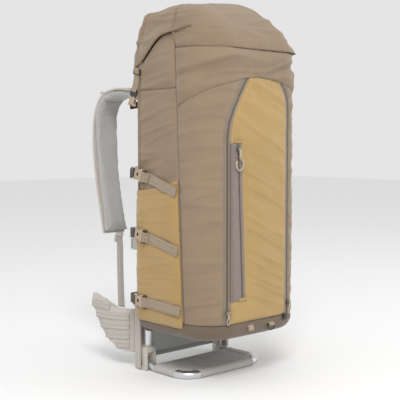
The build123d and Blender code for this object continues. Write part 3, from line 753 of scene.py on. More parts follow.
skins = {}
for side, label in ((-1, "left"), (1, "right")):
    points, uvs = [], []
    columns, rows = 48, 104
    for row in range(rows):
        v = row / (rows - 1)
        for column in range(columns):
            u = column / (columns - 1)
            top = along(POCKET_TOP, POCKET_RUNS[0] + u * (seam_run(0.489) - POCKET_RUNS[0]))
            height = POCKET_LOW_Z + v * (top - POCKET_LOW_Z)
            beside = POCKET_RUNS[0] + u * (seam_run(height) - 0.0012 - POCKET_RUNS[0])
            edge = min(beside + 0.013, seam_run(height) - beside, height - POCKET_LOW_Z)
            lift = pocket_out(beside, height) + folds(beside, height, 61 + side, 0.75) * min(edge / 0.02, 1)
            lift += 0.0011 * (abs(height - top) < 0.013) - 0.0022 * math.exp(-((height - top
                                                                                + 0.014) / 0.0016) ** 2)
            lift += 0.0016 * noise.noise(Vector((beside * 120, height * 9,
                                                 66))) * math.exp(-(height - POCKET_LOW_Z) / 0.02)
            dart = math.exp(-((beside - 0.030) / 0.0018) ** 2) * (top - height < 0.028)
            flat, _ = outline(beside if side < 0 else whole_run - beside, lift - 0.0022 * dart)
            points.append((flat.x, flat.y, height))
            uvs.append((beside, height))
    faces = grid_faces(rows, columns)
    if side > 0:
        faces = [tuple(reversed(face)) for face in faces]
    pocket = mesh_piece(f"side_pocket_{label}_cloth", points, faces, stretch_cloth, uvs)
    sewn(pocket, 0.0012, "pack", f"side_pocket_{label}")
    depth = bpy.context.evaluated_depsgraph_get()
    skins[label] = [BVHTree.FromObject(bpy.data.objects[name], depth)
                    for name in (f"side_pocket_{label}_cloth", f"side_panel_{label}_skin")]


# Compression straps: three webbing straps on each side, sewn into the side seam and drawn
# back over the pocket to a side release buckle on the frame.
def smooth_line(points, step=0.004):
    """Evenly spaced points on a smooth line through the given ones."""
    points = [Vector(p) for p in points]
    ends = [points[0] * 2 - points[1], *points, points[-1] * 2 - points[-2]]
    fine = []
    for i in range(1, len(ends) - 2):
        a, b, c, d = ends[i - 1:i + 3]
        for part in range(16):
            t = part / 16
            fine.append((b * 2 + (c - a) * t + (a * 2 - b * 5 + c * 4 - d) * t * t
                         + (b * 3 - c * 3 + d - a) * t ** 3) / 2)
    fine.append(points[-1])
    reach = np.cumsum([0] + [(q - p).length for p, q in zip(fine, fine[1:])])
    count = max(int(reach[-1] / step), 4)
    places = np.linspace(0, reach[-1], count)
    return [Vector(np.interp(place, reach, [p[axis] for p in fine]) for axis in range(3))
            for place in places]


def outward(piece):
    """Turns a closed piece's faces outwards."""
    shell = bmesh.new()
    shell.from_mesh(piece.data)
    bmesh.ops.recalc_face_normals(shell, faces=shell.faces)
    shell.to_mesh(piece.data)
    shell.free()
    return piece


STRAP_SECTION = [(-1, 0.2), (-0.95, 0.5), (-0.5, 0.5), (0, 0.5), (0.5, 0.5), (0.95, 0.5), (1, 0.2)]
STRAP_SECTION += [(across, -deep) for across, deep in reversed(STRAP_SECTION)]


def strap(name, lines, across, width, thick, finish, body, smooth=True, step=0.004):
    """One or more flat straps. Each line is a centre line; across is the direction of the width."""
    points, uvs, faces = [], [], []
    for number, line in enumerate(lines):
        line = smooth_line(line, step) if smooth else [Vector(p) for p in line]
        wide = across[number] if isinstance(across, list) else across
        base, reach = len(points), 0.0
        for i, spot in enumerate(line):
            tangent = (line[min(i + 1, len(line) - 1)] - line[max(i - 1, 0)]).normalized()
            sideways = wide[min(i, len(wide) - 1)] if isinstance(wide, (list, tuple)) else wide
            sideways = (sideways - tangent * sideways.dot(tangent)).normalized()
            normal = tangent.cross(sideways).normalized()
            reach += (spot - line[i - 1]).length if i else 0
            for share, deep in STRAP_SECTION:
                points.append(spot + sideways * share * width / 2 + normal * deep * thick)
                uvs.append((share * width / 2 + number * 0.03, reach))
        ring = len(STRAP_SECTION)
        for i in range(len(line) - 1):
            for k in range(ring):
                a, b = base + i * ring + k, base + i * ring + (k + 1) % ring
                faces.append((a, b, b + ring, a + ring))
        faces.append(tuple(base + k for k in reversed(range(ring))))
        faces.append(tuple(base + (len(line) - 1) * ring + k for k in range(ring)))
    piece = mesh_piece(name, points, faces, finish, uvs)
    outward(piece)
    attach(piece, body)
    return piece


brown_webbing = webbing("taupe_webbing", (0.36, 0.275, 0.19))
black_webbing = webbing("black_webbing", (0.030, 0.027, 0.025))
WIDE_STRAP_W = 0.025
STRAP_T = 0.0015
POCKET_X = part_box("side_pocket_right")[1].x
for side, label in ((-1, "left"), (1, "right")):
    lines, wides = [], []
    for row in STRAP_HEIGHTS:
        lean = Vector((0, STRAP_Y[1] - STRAP_Y[0], row[1] - row[0])).normalized()
        seam_z = row[1] + 0.003
        seam_y = BACK_Y - BACK_R - seam_run(seam_z) + 0.001
        places = np.linspace(seam_y, STRAP_Y[0] - 0.012, 14)
        under = []
        for y in places:
            struck = [skin.ray_cast(Vector((side * 0.25, y, strap_height(row, y) + shift)),
                                    Vector((-side, 0, 0)))[0]
                      for skin in skins[label] for shift in (-0.012, -0.006, 0, 0.006, 0.012)]
            under.append(max([abs(hit.x) for hit in struck if hit] + [SIDE_X - 0.002]))
        tight = [max(under[max(i - 1, 0):i + 2]) for i in range(len(under))]
        tight = [float(np.mean(tight[max(i - 1, 0):i + 2])) for i in range(len(tight))]
        line = []
        for y, held in zip(places, tight):
            rise = along([(STRAP_Y[0] - 0.041, 0.0), (STRAP_Y[0] - 0.016, 1.0)], y)
            line.append(Vector((side * (held + 0.0012 + max(POCKET_X + 0.00105 - held - 0.0012, 0) * rise),
                                y,
                                strap_height(row, y))))
        lines.append(line)
        wides.append(Vector((0, -lean.z, lean.y)))
    straps = strap(f"compression_webbing_{label}", lines, wides, WIDE_STRAP_W, STRAP_T, brown_webbing,
                   "pack")
    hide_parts(f"compression_straps_{label}")


# Side release buckles: a tan socket webbed to the frame leg, and a black plug that carries
# the strap on its two bars. Moulded acetal, with the prongs showing in the socket's waist.
def moulded(name, colour, rough=0.42, grain=0.0002, worn=0.12):
    """Moulded plastic: fine grain, slight unevenness and dusty scuffs."""
    return grouped(name, plastic_grain, "Object", colour=(*colour, 1), rough=rough, grain=grain,
                   worn=worn)[0]


def plastic_group():
    tree, start, end = new_group(
        "plastic_grain",
        [("Place", "NodeSocketVector", None), ("Colour", "NodeSocketColor", (0.5, 0.4, 0.3, 1)),
         ("Rough", "NodeSocketFloat", 0.4), ("Grain", "NodeSocketFloat", 0.0002),
         ("Worn", "NodeSocketFloat", 0.1)],
        [("Colour", "NodeSocketColor"), ("Roughness", "NodeSocketFloat"), ("Normal", "NodeSocketVector")],
    )
    values = []
    for scale, detail in ((2200, 2), (130, 5), (28, 3)):
        grain = tree.nodes.new("ShaderNodeTexNoise")
        grain.inputs["Scale"].default_value = scale
        grain.inputs["Detail"].default_value = detail
        tree.links.new(start.outputs["Place"], grain.inputs["Vector"])
        values.append(grain.outputs["Fac"])
    pits, scuffs, patches = values
    pale = tree.nodes.new("ShaderNodeMix")
    pale.data_type = "RGBA"
    pale.blend_type = "SCREEN"
    dust = maths(tree, "MULTIPLY",
                 maths(tree, "SMOOTH_MAX", maths(tree, "SUBTRACT", scuffs, 0.5), 0.0, 0.1), 1.6)
    tree.links.new(maths(tree, "MULTIPLY", dust, start.outputs["Worn"]), pale.inputs["Factor"])
    tree.links.new(start.outputs["Colour"], pale.inputs["A"])
    pale.inputs["B"].default_value = (0.75, 0.72, 0.68, 1)
    gloss = maths(tree, "ADD", start.outputs["Rough"],
                  maths(tree, "MULTIPLY", maths(tree, "SUBTRACT", patches, 0.4), 0.3))
    bump = tree.nodes.new("ShaderNodeBump")
    bump.inputs["Distance"].default_value = 1.0
    bump.inputs["Strength"].default_value = 0.6
    tree.links.new(maths(tree, "MULTIPLY", pits, start.outputs["Grain"]), bump.inputs["Height"])
    tree.links.new(pale.outputs["Result"], end.inputs["Colour"])
    tree.links.new(gloss, end.inputs["Roughness"])
    tree.links.new(bump.outputs["Normal"], end.inputs["Normal"])
    return tree


plastic_grain = plastic_group()
tan_plastic = moulded("tan_acetal", (0.40, 0.305, 0.215))
black_plastic = moulded("black_acetal", (0.022, 0.021, 0.020), rough=0.38, worn=0.35)
pale_plastic = moulded("pale_acetal", (0.50, 0.47, 0.42), rough=0.45)


def rounded(points, radius, steps=5):
    """An outline with its corners rounded."""
    loop = []
    count = len(points)
    for i in range(count):
        before, here, after = (Vector(points[(i + k) % count]) for k in (-1, 0, 1))
        cut = min(radius, (before - here).length * 0.48, (after - here).length * 0.48)
        start = here + (before - here).normalized() * cut
        end = here + (after - here).normalized() * cut
        for step in range(steps + 1):
            t = step / steps
            loop.append(start * (1 - t) ** 2 + here * 2 * t * (1 - t) + end * t * t)
    return loop


def block(low, high, radius=0.001):
    """A rounded rectangle between two corners."""
    return rounded([(low[0], low[1]), (high[0], low[1]), (high[0], high[1]), (low[0], high[1])], radius)


def plate(loops, low, high, edge=0.0005):
    """A flat part with the outline and holes given, between two depths, with softened edges."""
    shape = bpy.data.curves.new("plate", "CURVE")
    shape.dimensions = "2D"
    shape.fill_mode = "BOTH"
    shape.bevel_depth = edge
    shape.bevel_resolution = 2
    shape.offset = -edge
    shape.extrude = (high - low) / 2 - edge
    for loop in loops:
        spline = shape.splines.new("POLY")
        spline.points.add(len(loop) - 1)
        for point, spot in zip(spline.points, loop):
            point.co = (spot[0], spot[1], 0, 1)
        spline.use_cyclic_u = True
    holder = bpy.data.objects.new("plate", shape)
    mesh = bpy.data.meshes.new_from_object(holder)
    bpy.data.objects.remove(holder)
    for point in mesh.vertices:
        point.co.z += (low + high) / 2
    return mesh


def moulding(name, placed, finish, body):
    """One piece from plates. Each entry is a plate's mesh and the plane that it is set on."""
    shell = bmesh.new()
    for mesh, place in placed:
        part = bmesh.new()
        part.from_mesh(mesh)
        part.transform(place)
        bmesh.ops.remove_doubles(part, verts=part.verts, dist=0.00002)
        bmesh.ops.recalc_face_normals(part, faces=part.faces)
        whole = bpy.data.meshes.new("part")
        part.to_mesh(whole)
        part.free()
        shell.from_mesh(whole)
    mesh = bpy.data.meshes.new(name)
    shell.to_mesh(mesh)
    shell.free()
    mesh.materials.clear()
    mesh.materials.append(finish)
    mesh.polygons.foreach_set("material_index", [0] * len(mesh.polygons))
    piece = bpy.data.objects.new(name, mesh)
    scene.collection.objects.link(piece)
    mesh.polygons.foreach_set("use_smooth", [True] * len(mesh.polygons))
    mesh.set_sharp_from_angle(angle=math.radians(38))
    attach(piece, body)
    return piece


def plane_on(origin, along_u, out_w):
    """The plane with its x along one direction and its z along another."""
    u, w = Vector(along_u).normalized(), Vector(out_w).normalized()
    v = w.cross(u).normalized()
    place = Matrix((u, v, w)).transposed().to_4x4()
    place.translation = Vector(origin)
    return place


def mirrored(points):
    """The upper half of an outline and the same half turned over, as one loop."""
    return [*points, *[(u, -v) for u, v in reversed(points)]]


socket_face = rounded(mirrored([(-0.022, 0.0125), (-0.0175, 0.0163), (-0.013, 0.0163), (-0.010, 0.0125),
                                (-0.001, 0.0122), (0.002, 0.0163), (0.009, 0.0163)]), 0.0022)
socket_lower = plate([socket_face], 0.0022, 0.0037)
socket_upper = plate([socket_face, block((-0.0095, -0.004), (-0.003, 0.004), 0.0018)], 0.0076, 0.0094,
                     0.0007)
socket_end = plate([block((-0.022, -0.0161), (-0.0155, 0.0161), 0.0024),
                    block((-0.0195, -0.0127), (-0.0172, 0.0127), 0.0008)], 0.0022, 0.0092, 0.0008)
socket_rails = [plate([block((0.0015, flank * 0.0146 - 0.0016), (0.009, flank * 0.0146 + 0.0016))], 0.003,
                      0.009)
                for flank in (-1, 1)]
plug_body = plate([block((0.0095, -0.0165), (0.021, 0.0165), 0.0026),
                   block((0.0117, -0.0127), (0.0138, 0.0127), 0.0006),
                   block((0.0162, -0.0127), (0.0187, 0.0127), 0.0006)], 0.0024, 0.0090, 0.0009)
plug_arms = [plate([rounded([(0.0105, flank * 0.0075), (0.0105, flank * 0.0118), (-0.003, flank * 0.0119),
                             (-0.0145, flank * 0.0086), (-0.0145, flank * 0.0064),
                             (-0.004, flank * 0.0090)], 0.0014)],
                   0.0042, 0.0073) for flank in (-1, 1)]
plug_tongue = plate([rounded([(0.0105, -0.003), (0.0105, 0.003), (-0.0125, 0.0016), (-0.0125, -0.0016)],
                             0.0012)],
                    0.0050, 0.0066)
for side, label in ((-1, "left"), (1, "right")):
    sockets, anchors = [], []
    for row, name in zip(STRAP_HEIGHTS, ("top", "middle", "bottom")):
        lean = Vector((0, STRAP_Y[1] - STRAP_Y[0], row[1] - row[0])).normalized()
        wide = Vector((0, -lean.z, lean.y))
        place = plane_on((side * POCKET_X, STRAP_Y[0], row[0]), lean, (side, 0, 0))
        sockets += [(mesh, place) for mesh in (socket_lower, socket_upper, socket_end, *socket_rails)]
        plug = moulding(f"buckle_plug_{label}_{name}_body",
                        [(mesh, place) for mesh in (plug_body, *plug_arms, plug_tongue)], black_plastic,
                        f"plug_{label}_{name}")
        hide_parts(f"buckle_plug_{label}_{name}")
        out = lambda u, w: place @ Vector((u, 0, w))
        over_bar = [out(0.0300, 0.0034), out(0.0255, 0.0046), out(0.0222, 0.0078), out(0.0200, 0.0098),
                    out(0.0160, 0.0103), out(0.0122, 0.0098), out(0.0108, 0.0086)]
        strap(f"buckle_wrap_{label}_{name}", [over_bar], wide, WIDE_STRAP_W, STRAP_T, brown_webbing,
              f"plug_{label}_{name}", step=0.0015)
        leg_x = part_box("frame_hoop")[1].x + 0.0006
        anchors.append([out(-0.0176, 0.0100), out(-0.0205, 0.0104), out(-0.0245, 0.0080),
                        out(-0.030, 0.0048),
                        Vector((side * (POCKET_X + 0.0032), -0.004, row[0] + 0.003)),
                        Vector((side * (POCKET_X + 0.0008), 0.0018, row[0] + 0.003)),
                        Vector((side * 0.172, 0.0030, row[0] + 0.003)),
                        Vector((side * leg_x, 0.0024, row[0] + 0.003))])
    piece = moulding(f"buckle_sockets_{label}_body", sockets, tan_plastic, "pack")
    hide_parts(f"buckle_sockets_{label}")
    strap(f"buckle_anchor_webbing_{label}", anchors, Vector((0, 0, 1)), WIDE_STRAP_W - 0.002, 0.002,
          black_webbing, "pack", step=0.002)


# Pocket zip: a taped zip laid on the centre panel, a little off upright, with its lower end
# closed by a sewn gold bar.
from_box = lambda name: (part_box(name)[0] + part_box(name)[1]) / 2
POCKET_LEAN = 0.0431
zip_up = Vector((-POCKET_LEAN, 0, math.sqrt(1 - POCKET_LEAN ** 2)))
zip_side = Vector((zip_up.z, 0, POCKET_LEAN))
pocket_top = from_box("pocket_slider")
pocket_top.y = FRONT_Y
TAPE_FROM, TAPE_TO = 0.020, -0.356
laid = BVHTree.FromObject(center_skin, bpy.context.evaluated_depsgraph_get())


def on_panel(across, up, lift):
    """Point on the centre panel, beside and along the pocket zip, lifted off the cloth."""
    spot = pocket_top + zip_side * across + zip_up * up
    struck = laid.ray_cast(Vector((spot.x, FRONT_Y - 0.05, spot.z)), Vector((0, 1, 0)))[0]
    return Vector((spot.x, (struck.y if struck else FRONT_Y) - lift, spot.z))


pocket_tape_cloth = webbing("pocket_tape_lilac", (0.275, 0.215, 0.195), rib=0.0012)
for flank, label in ((-1, "inner"), (1, "outer")):
    points, uvs = [], []
    heights = np.arange(TAPE_TO, TAPE_FROM, 0.004)
    columns = 7 if flank > 0 else 15
    for up in heights:
        here = pocket_top + zip_up * up
        reach = 0.011 if flank > 0 else here.x - along(LEFT_ZIP, here.z) - ZIP_HALF + 0.0005
        for share in range(columns):
            across = flank * (0.0006 + (reach - 0.0006) * share / (columns - 1))
            points.append(on_panel(across, up, 0.0011 - 0.0006 * (share == columns - 1)))
            uvs.append((across, up))
    faces = grid_faces(len(heights), columns)
    if flank < 0:
        faces = [tuple(reversed(face)) for face in faces]
    tape = mesh_piece(f"pocket_zip_tape_{label}", points, faces, pocket_tape_cloth, uvs)
    sewn(tape, 0.0008, "pack", "pocket_zip")
    line = [on_panel(flank * 0.0012, up, 0.0016) for up in heights]
    repeat_along(f"pocket_zip_coil_{label}", [line], tooth_steps, coil_nylon, "zip_tape", "pack",
                 spacing=0.0017, across=0.0026, deep=0.0016, length=0.0011)
bar = [on_panel(across, TAPE_TO + 0.002, 0.0024) for across in np.linspace(-0.0135, 0.0135, 8)]
strap("pocket_zip_end_bar", [bar], zip_up, 0.007, 0.0012, stretch_cloth, "pack", step=0.002)
bar = [on_panel(across, TAPE_FROM - 0.001, 0.0024) for across in np.linspace(-0.0125, 0.0125, 8)]
strap("pocket_zip_top_bar", [bar], zip_up, 0.006, 0.0012, stretch_cloth, "pack", step=0.002)


# Zip sliders and pulls: dark plated die castings with a raised bail. The main zips have a
# short loop of cord, and the pocket zip a longer loop with its end turned up.
def metal_group():
    tree, start, end = new_group(
        "metal_wear",
        [("Place", "NodeSocketVector", None), ("Colour", "NodeSocketColor", (0.6, 0.6, 0.6, 1)),
         ("Rough", "NodeSocketFloat", 0.3), ("Scratch", "NodeSocketFloat", 0.00004)],
        [("Colour", "NodeSocketColor"), ("Roughness", "NodeSocketFloat"), ("Normal", "NodeSocketVector")],
    )
    drawn = tree.nodes.new("ShaderNodeMapping")
    drawn.inputs["Scale"].default_value = (1, 1, 0.04)
    tree.links.new(start.outputs["Place"], drawn.inputs["Vector"])
    values = []
    for scale, detail, source in ((1600, 3, drawn.outputs[0]), (45, 4, start.outputs["Place"])):
        grain = tree.nodes.new("ShaderNodeTexNoise")
        grain.inputs["Scale"].default_value = scale
        grain.inputs["Detail"].default_value = detail
        tree.links.new(source, grain.inputs["Vector"])
        values.append(grain.outputs["Fac"])
    lines, smears = values
    dull = tree.nodes.new("ShaderNodeMix")
    dull.data_type = "RGBA"
    dull.blend_type = "MULTIPLY"
    tree.links.new(maths(tree, "MULTIPLY", smears, 0.45), dull.inputs["Factor"])
    tree.links.new(start.outputs["Colour"], dull.inputs["A"])
    dull.inputs["B"].default_value = (0.72, 0.70, 0.68, 1)
    gloss = maths(tree, "ADD", start.outputs["Rough"],
                  maths(tree, "MULTIPLY", maths(tree, "SUBTRACT", smears, 0.4), 0.35))
    bump = tree.nodes.new("ShaderNodeBump")
    bump.inputs["Distance"].default_value = 1.0
    tree.links.new(maths(tree, "MULTIPLY", lines, start.outputs["Scratch"]), bump.inputs["Height"])
    tree.links.new(dull.outputs["Result"], end.inputs["Colour"])
    tree.links.new(gloss, end.inputs["Roughness"])
    tree.links.new(bump.outputs["Normal"], end.inputs["Normal"])
    return tree


metal_wear = metal_group()


def metal(name, colour, rough=0.3, scratch=0.00004):
    """Bare or plated metal with drawn lines and dull smears."""
    finish, shader = grouped(name, metal_wear, "Object", colour=(*colour, 1), rough=rough, scratch=scratch)
    shader.inputs["Metallic"].default_value = 1.0
    return finish


def rod(line, radius, sides=10, step=0.0015, smooth=True):
    """The mesh of a round bar along a line, closed at both ends. radius may be a list."""
    line = smooth_line(line, step) if smooth else [Vector(p) for p in line]
    points, faces = [], []
    across = None
    for i, spot in enumerate(line):
        tangent = (line[min(i + 1, len(line) - 1)] - line[max(i - 1, 0)]).normalized()
        if across is None:
            across = tangent.orthogonal().normalized()
        across = (across - tangent * across.dot(tangent)).normalized()
        other = tangent.cross(across)
        size = float(np.interp(i / (len(line) - 1), np.linspace(0, 1, len(radius)), radius)) \
            if isinstance(radius, (list, tuple)) else radius
        for k in range(sides):
            turned = 2 * math.pi * k / sides
            points.append(spot + (across * math.cos(turned) + other * math.sin(turned)) * size)
    for i in range(len(line) - 1):
        for k in range(sides):
            a, b = i * sides + k, i * sides + (k + 1) % sides
            faces.append((a, b, b + sides, a + sides))
    faces.append(tuple(reversed(range(sides))))
    faces.append(tuple(range((len(line) - 1) * sides, len(line) * sides)))
    mesh = bpy.data.meshes.new("rod")
    mesh.from_pydata([tuple(p) for p in points], [], faces)
    return mesh


dark_metal = metal("dark_plated", (0.30, 0.285, 0.27), rough=0.28)
pull_cord = cloth("pull_cord", (0.47, 0.41, 0.30), yarn=0.0006, crease=0, on_uv=False)
slider_face = rounded([(0.0062, 0.0070), (0.0062, 0.0010), (0.0038, -0.0045), (0.0038, -0.0079),
                       (-0.0038, -0.0079), (-0.0038, -0.0045), (-0.0062, 0.0010), (-0.0062, 0.0070)],
                       0.0022)
slider_shapes = [
    plate([slider_face], 0.0034, 0.0050, 0.0006),
    plate([slider_face], 0.0004, 0.0014, 0.0003),
    plate([block((-0.0020, 0.0030), (0.0020, 0.0076), 0.0008)], 0.0006, 0.0048),
    rod([(0, 0.0066, 0.0044), (0, 0.0064, 0.0070), (0, 0.0046, 0.0088), (0, 0.0014, 0.0086),
         (0, -0.0012, 0.0066),
         (0, -0.0020, 0.0044)], 0.0011, step=0.0008),
]
short_loop = [
    rod([(-0.0046, 0.003, 0.0068), (0.0046, 0.003, 0.0068)], 0.0010, smooth=False),
    rod([(-0.0012, 0.0034, 0.0069), (-0.0016, -0.0030, 0.0074), (-0.0012, -0.0085, 0.0072),
         (-0.0034, -0.0140, 0.0068),
         (-0.0040, -0.0215, 0.0062), (0, -0.0262, 0.0060), (0.0040, -0.0215, 0.0062),
         (0.0034, -0.0140, 0.0068),
         (0.0012, -0.0085, 0.0072), (0.0016, -0.0030, 0.0074), (0.0012, 0.0034, 0.0069)], 0.0011),
    rod([(0, -0.0068, 0.0072), (0, -0.0082, 0.0073), (0, -0.0104, 0.0072), (0, -0.0118, 0.0072)],
        [0.0016, 0.0028, 0.0028, 0.0016], step=0.0008),
]
ring = [(0.0125 * math.sin(turn) - 0.002, -0.0340 + 0.0135 * math.cos(turn),
         0.0064 - 0.001 * math.cos(turn / 2))
        for turn in np.linspace(0.25, 2 * math.pi - 0.9, 15)]
long_loop = [
    rod([(-0.0046, 0.003, 0.0068), (0.0046, 0.003, 0.0068)], 0.0010, smooth=False),
    rod([(-0.0013, 0.0034, 0.0069), (-0.0018, -0.0060, 0.0076), (-0.0013, -0.0140, 0.0074)], 0.0016),
    rod([(0.0013, 0.0034, 0.0069), (0.0018, -0.0060, 0.0076), (0.0013, -0.0140, 0.0074)], 0.0016),
    rod([(0, -0.0110, 0.0074), (0, -0.0125, 0.0075), (0, -0.0175, 0.0075), (0, -0.0195, 0.0072)],
        [0.0018, 0.0034, 0.0034, 0.0018], step=0.0008),
    rod([(0, -0.0178, 0.0073), *ring], [0.0021, 0.0020, 0.0019, 0.0019, 0.0025], sides=12),
]
MAIN_SLIDER_Z = 0.178
lean = math.asin((MAIN_ZIP_X - SIDE_X + CORNER_R) / CORNER_R)
zip_y = FRONT_Y + CORNER_R * (1 - math.cos(lean))
sliders = [("pocket_slider", "pocket_pull", "slider_pocket", "pull_pocket", long_loop,
            Matrix((zip_side, zip_up, (0, -1, 0))).transposed().to_4x4(),
            pocket_top + Vector((0, -0.001, 0)))]
for side, label in ((-1, "left"), (1, "right")):
    turned = Matrix(((math.cos(lean), side * math.sin(lean), 0), (0, 0, 1),
                     (side * math.sin(lean), -math.cos(lean), 0))).transposed().to_4x4()
    sliders.append((f"main_slider_{label}", f"main_pull_{label}", f"slider_{label}", f"pull_{label}",
                    short_loop,
                    turned, Vector((side * MAIN_ZIP_X, zip_y, MAIN_SLIDER_Z))))
for slider_node, pull_node, slider_body, pull_body, loop, place, spot in sliders:
    place.translation = spot
    slider = moulding(f"{slider_node}_casting", [(mesh, place) for mesh in slider_shapes], dark_metal,
                      slider_body)
    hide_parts(slider_node)
    pull = moulding(f"{pull_node}_loop", [(mesh, place) for mesh in loop], pull_cord,
                    pull_body)
    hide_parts(pull_node)


# Straps of the rolled top: webbing from under each end of the hood, doubled through a ladder
# lock, down to a small side release buckle held to the top of the frame leg.
SMALL_STRAP_W = 0.020
roll_start, roll_end = Vector((0, -0.046, 0.852)), Vector((0, -0.004, 0.690))
roll_down = (roll_end - roll_start).normalized()
roll_run = (roll_end - roll_start).length
ROLL_IN = 0.173
small_arms = [plate([rounded([(roll_run - 0.002, flank * 0.0045), (roll_run - 0.002, flank * 0.0088),
                              (roll_run + 0.004, flank * 0.0092), (roll_run + 0.0158, flank * 0.0068),
                              (roll_run + 0.0158, flank * 0.0045), (roll_run + 0.004, flank * 0.0062)],
                              0.0012)],
                    0.0022, 0.0048) for flank in (-1, 1)]
ladder_at = roll_run - 0.062
base_at = roll_run - 0.010
roll_plates = [
    plate([block((ladder_at - 0.0075, -0.0127), (ladder_at + 0.0075, 0.0127), 0.002),
           block((ladder_at - 0.0046, -0.0102), (ladder_at - 0.0018, 0.0102), 0.0006),
           block((ladder_at + 0.0018, -0.0102), (ladder_at + 0.0046, 0.0102), 0.0006)], 0.0016, 0.0060,
           0.0009),
    plate([block((base_at - 0.008, -0.0125), (base_at + 0.0082, 0.0125), 0.002),
           block((base_at - 0.0045, -0.0102), (base_at - 0.0015, 0.0102), 0.0006)], 0.0016, 0.0060, 0.0009),
    *small_arms,
]
small_face = rounded(mirrored([(roll_run + 0.0004, 0.0125), (roll_run + 0.005, 0.0125),
                               (roll_run + 0.008, 0.0095),
                               (roll_run + 0.015, 0.0095), (roll_run + 0.018, 0.0125),
                               (roll_run + 0.0225, 0.0125)]), 0.0016)
socket_plates = [plate([small_face], 0.0, 0.0015), plate([small_face], 0.0056, 0.0072, 0.0007),
                 plate([block((roll_run + 0.0172, -0.0124), (roll_run + 0.0225, 0.0124))], 0.0004, 0.0068)]
socket_plates += [plate([block((roll_run + 0.0006, flank * 0.0114 - 0.0010),
                               (roll_run + 0.005, flank * 0.0114 + 0.0010))],
                        0.0008, 0.0064) for flank in (-1, 1)]
sockets, anchors = [], []
for side, label in ((-1, "left"), (1, "right")):
    place = plane_on((side * ROLL_IN, roll_start.y, roll_start.z), roll_down, (side, 0, 0))
    wide = place.to_3x3() @ Vector((0, 1, 0))
    on_strap = lambda u, w: place @ Vector((u, 0, w))
    lines = [[on_strap(u, w) for u,
              w in ((0.030, -0.0010), (0.055, -0.0002), (0.085, 0.0008), (0.110, 0.0008),
                                          (0.150, 0.0008))],
             [on_strap(u, w) for u, w in ((ladder_at - 0.010, 0.0074), (ladder_at - 0.003, 0.0068),
                                          (ladder_at + 0.004, 0.0048), (ladder_at + 0.014, 0.0026),
                                          (base_at - 0.016, 0.0026), (base_at - 0.007, 0.0062),
                                          (base_at - 0.003, 0.0066))]]
    webs = strap(f"roll_webbing_{label}", lines, wide, SMALL_STRAP_W, STRAP_T, brown_webbing,
                 "rolled_top", step=0.002)
    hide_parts(f"roll_strap_{label}")
    hooks = moulding(f"roll_plug_{label}_body", [(mesh, place) for mesh in roll_plates], black_plastic,
                     "rolled_top")
    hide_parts(f"roll_plug_{label}")
    sockets += [(mesh, place) for mesh in socket_plates]
    leg_x = side * (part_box("frame_hoop")[1].x + 0.0006)
    anchors.append([on_strap(roll_run + 0.0200, 0.0078), on_strap(roll_run + 0.0240, 0.0060),
                    Vector((side * 0.1745, 0.0025, 0.668)), Vector((side * 0.162, 0.0012, 0.670)),
                    Vector((leg_x, 0.001, 0.672))])
piece = moulding("roll_sockets_body", sockets, tan_plastic, "pack")
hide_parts("roll_sockets")
strap("roll_anchor_webbing", anchors, Vector((0, 0.12, 1)), 0.016, 0.002, black_webbing,
      "pack", step=0.002)


# Lash tabs and ring: folded webbing tabs sewn to the lower edge of the front, and a bent
# steel ring hanging from the middle one.
tan_webbing = webbing("tan_webbing", (0.42, 0.32, 0.215))
lines = []
for x, z in ((-0.031, 0.134), (0.091, 0.146)):
    lines.append([(x, FRONT_Y + 0.0006, z + 0.006), (x, FRONT_Y - 0.0012, z + 0.001),
                  (x, FRONT_Y - 0.0024, z - 0.0045),
                  (x, FRONT_Y - 0.0036, z - 0.0062), (x, FRONT_Y - 0.0046, z - 0.0040),
                  (x, FRONT_Y - 0.0036, z + 0.0040),
                  (x, FRONT_Y - 0.0012, z + 0.0075)])
for number, (finish, width) in enumerate(((tan_webbing, 0.018), (black_webbing, 0.014))):
    tab = strap(f"lash_tab_{number + 1}", [lines[number]], Vector((1, 0, 0)), width, 0.0012, finish,
                "pack", step=0.0012)
    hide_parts("lash_tabs")
ring_x, ring_z = from_box("ring_tab").x, from_box("ring_tab").z
ring_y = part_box("d_ring")[0].y + 0.002
around = [(ring_x, ring_y + 0.0056, ring_z + 0.0058), (ring_x, ring_y + 0.0020, ring_z + 0.0040)]
around += [(ring_x, ring_y - 0.0031 * math.sin(turn), ring_z + 0.0031 * math.cos(turn))
           for turn in np.linspace(0.2, math.pi - 0.2, 7)]
around += [(ring_x, ring_y + 0.0020, ring_z - 0.0040), (ring_x, ring_y + 0.0052, ring_z - 0.0050)]
tab = strap("ring_tab_webbing", [around], Vector((1, 0, 0)), 0.018, 0.0012, tan_webbing,
            "pack", step=0.0012)
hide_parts("ring_tab")


# Rolled hem of the hood: a thick tube of the same cloth, over each side piece of the yoke,
# thinning out along the front.
brown_roll = cloth("brown_rolled_nylon", (0.285, 0.206, 0.135), on_uv=False)
for side, label in ((-1, "left"), (1, "right")):
    line = []
    for beside in np.linspace(-0.019, 0.184 if side < 0 else 0.128, 34):
        run = beside if side < 0 else whole_run - beside
        flat, facing = whole_outline(run,
                                     0.0058 if beside < 0.127 else along([(0.127, 0.0058), (0.184, 0.001)],
                                                                         beside))
        line.append(Vector((flat.x, flat.y, along(HEM, beside) + 0.003)))
    tube = rod(line, [0.0040, 0.0044, 0.0042, 0.0040, 0.0034, 0.0008], sides=14, step=0.004)
    moulding(f"rolled_hem_{label}", [(tube, Matrix.Identity(4))], brown_roll, "rolled_top")


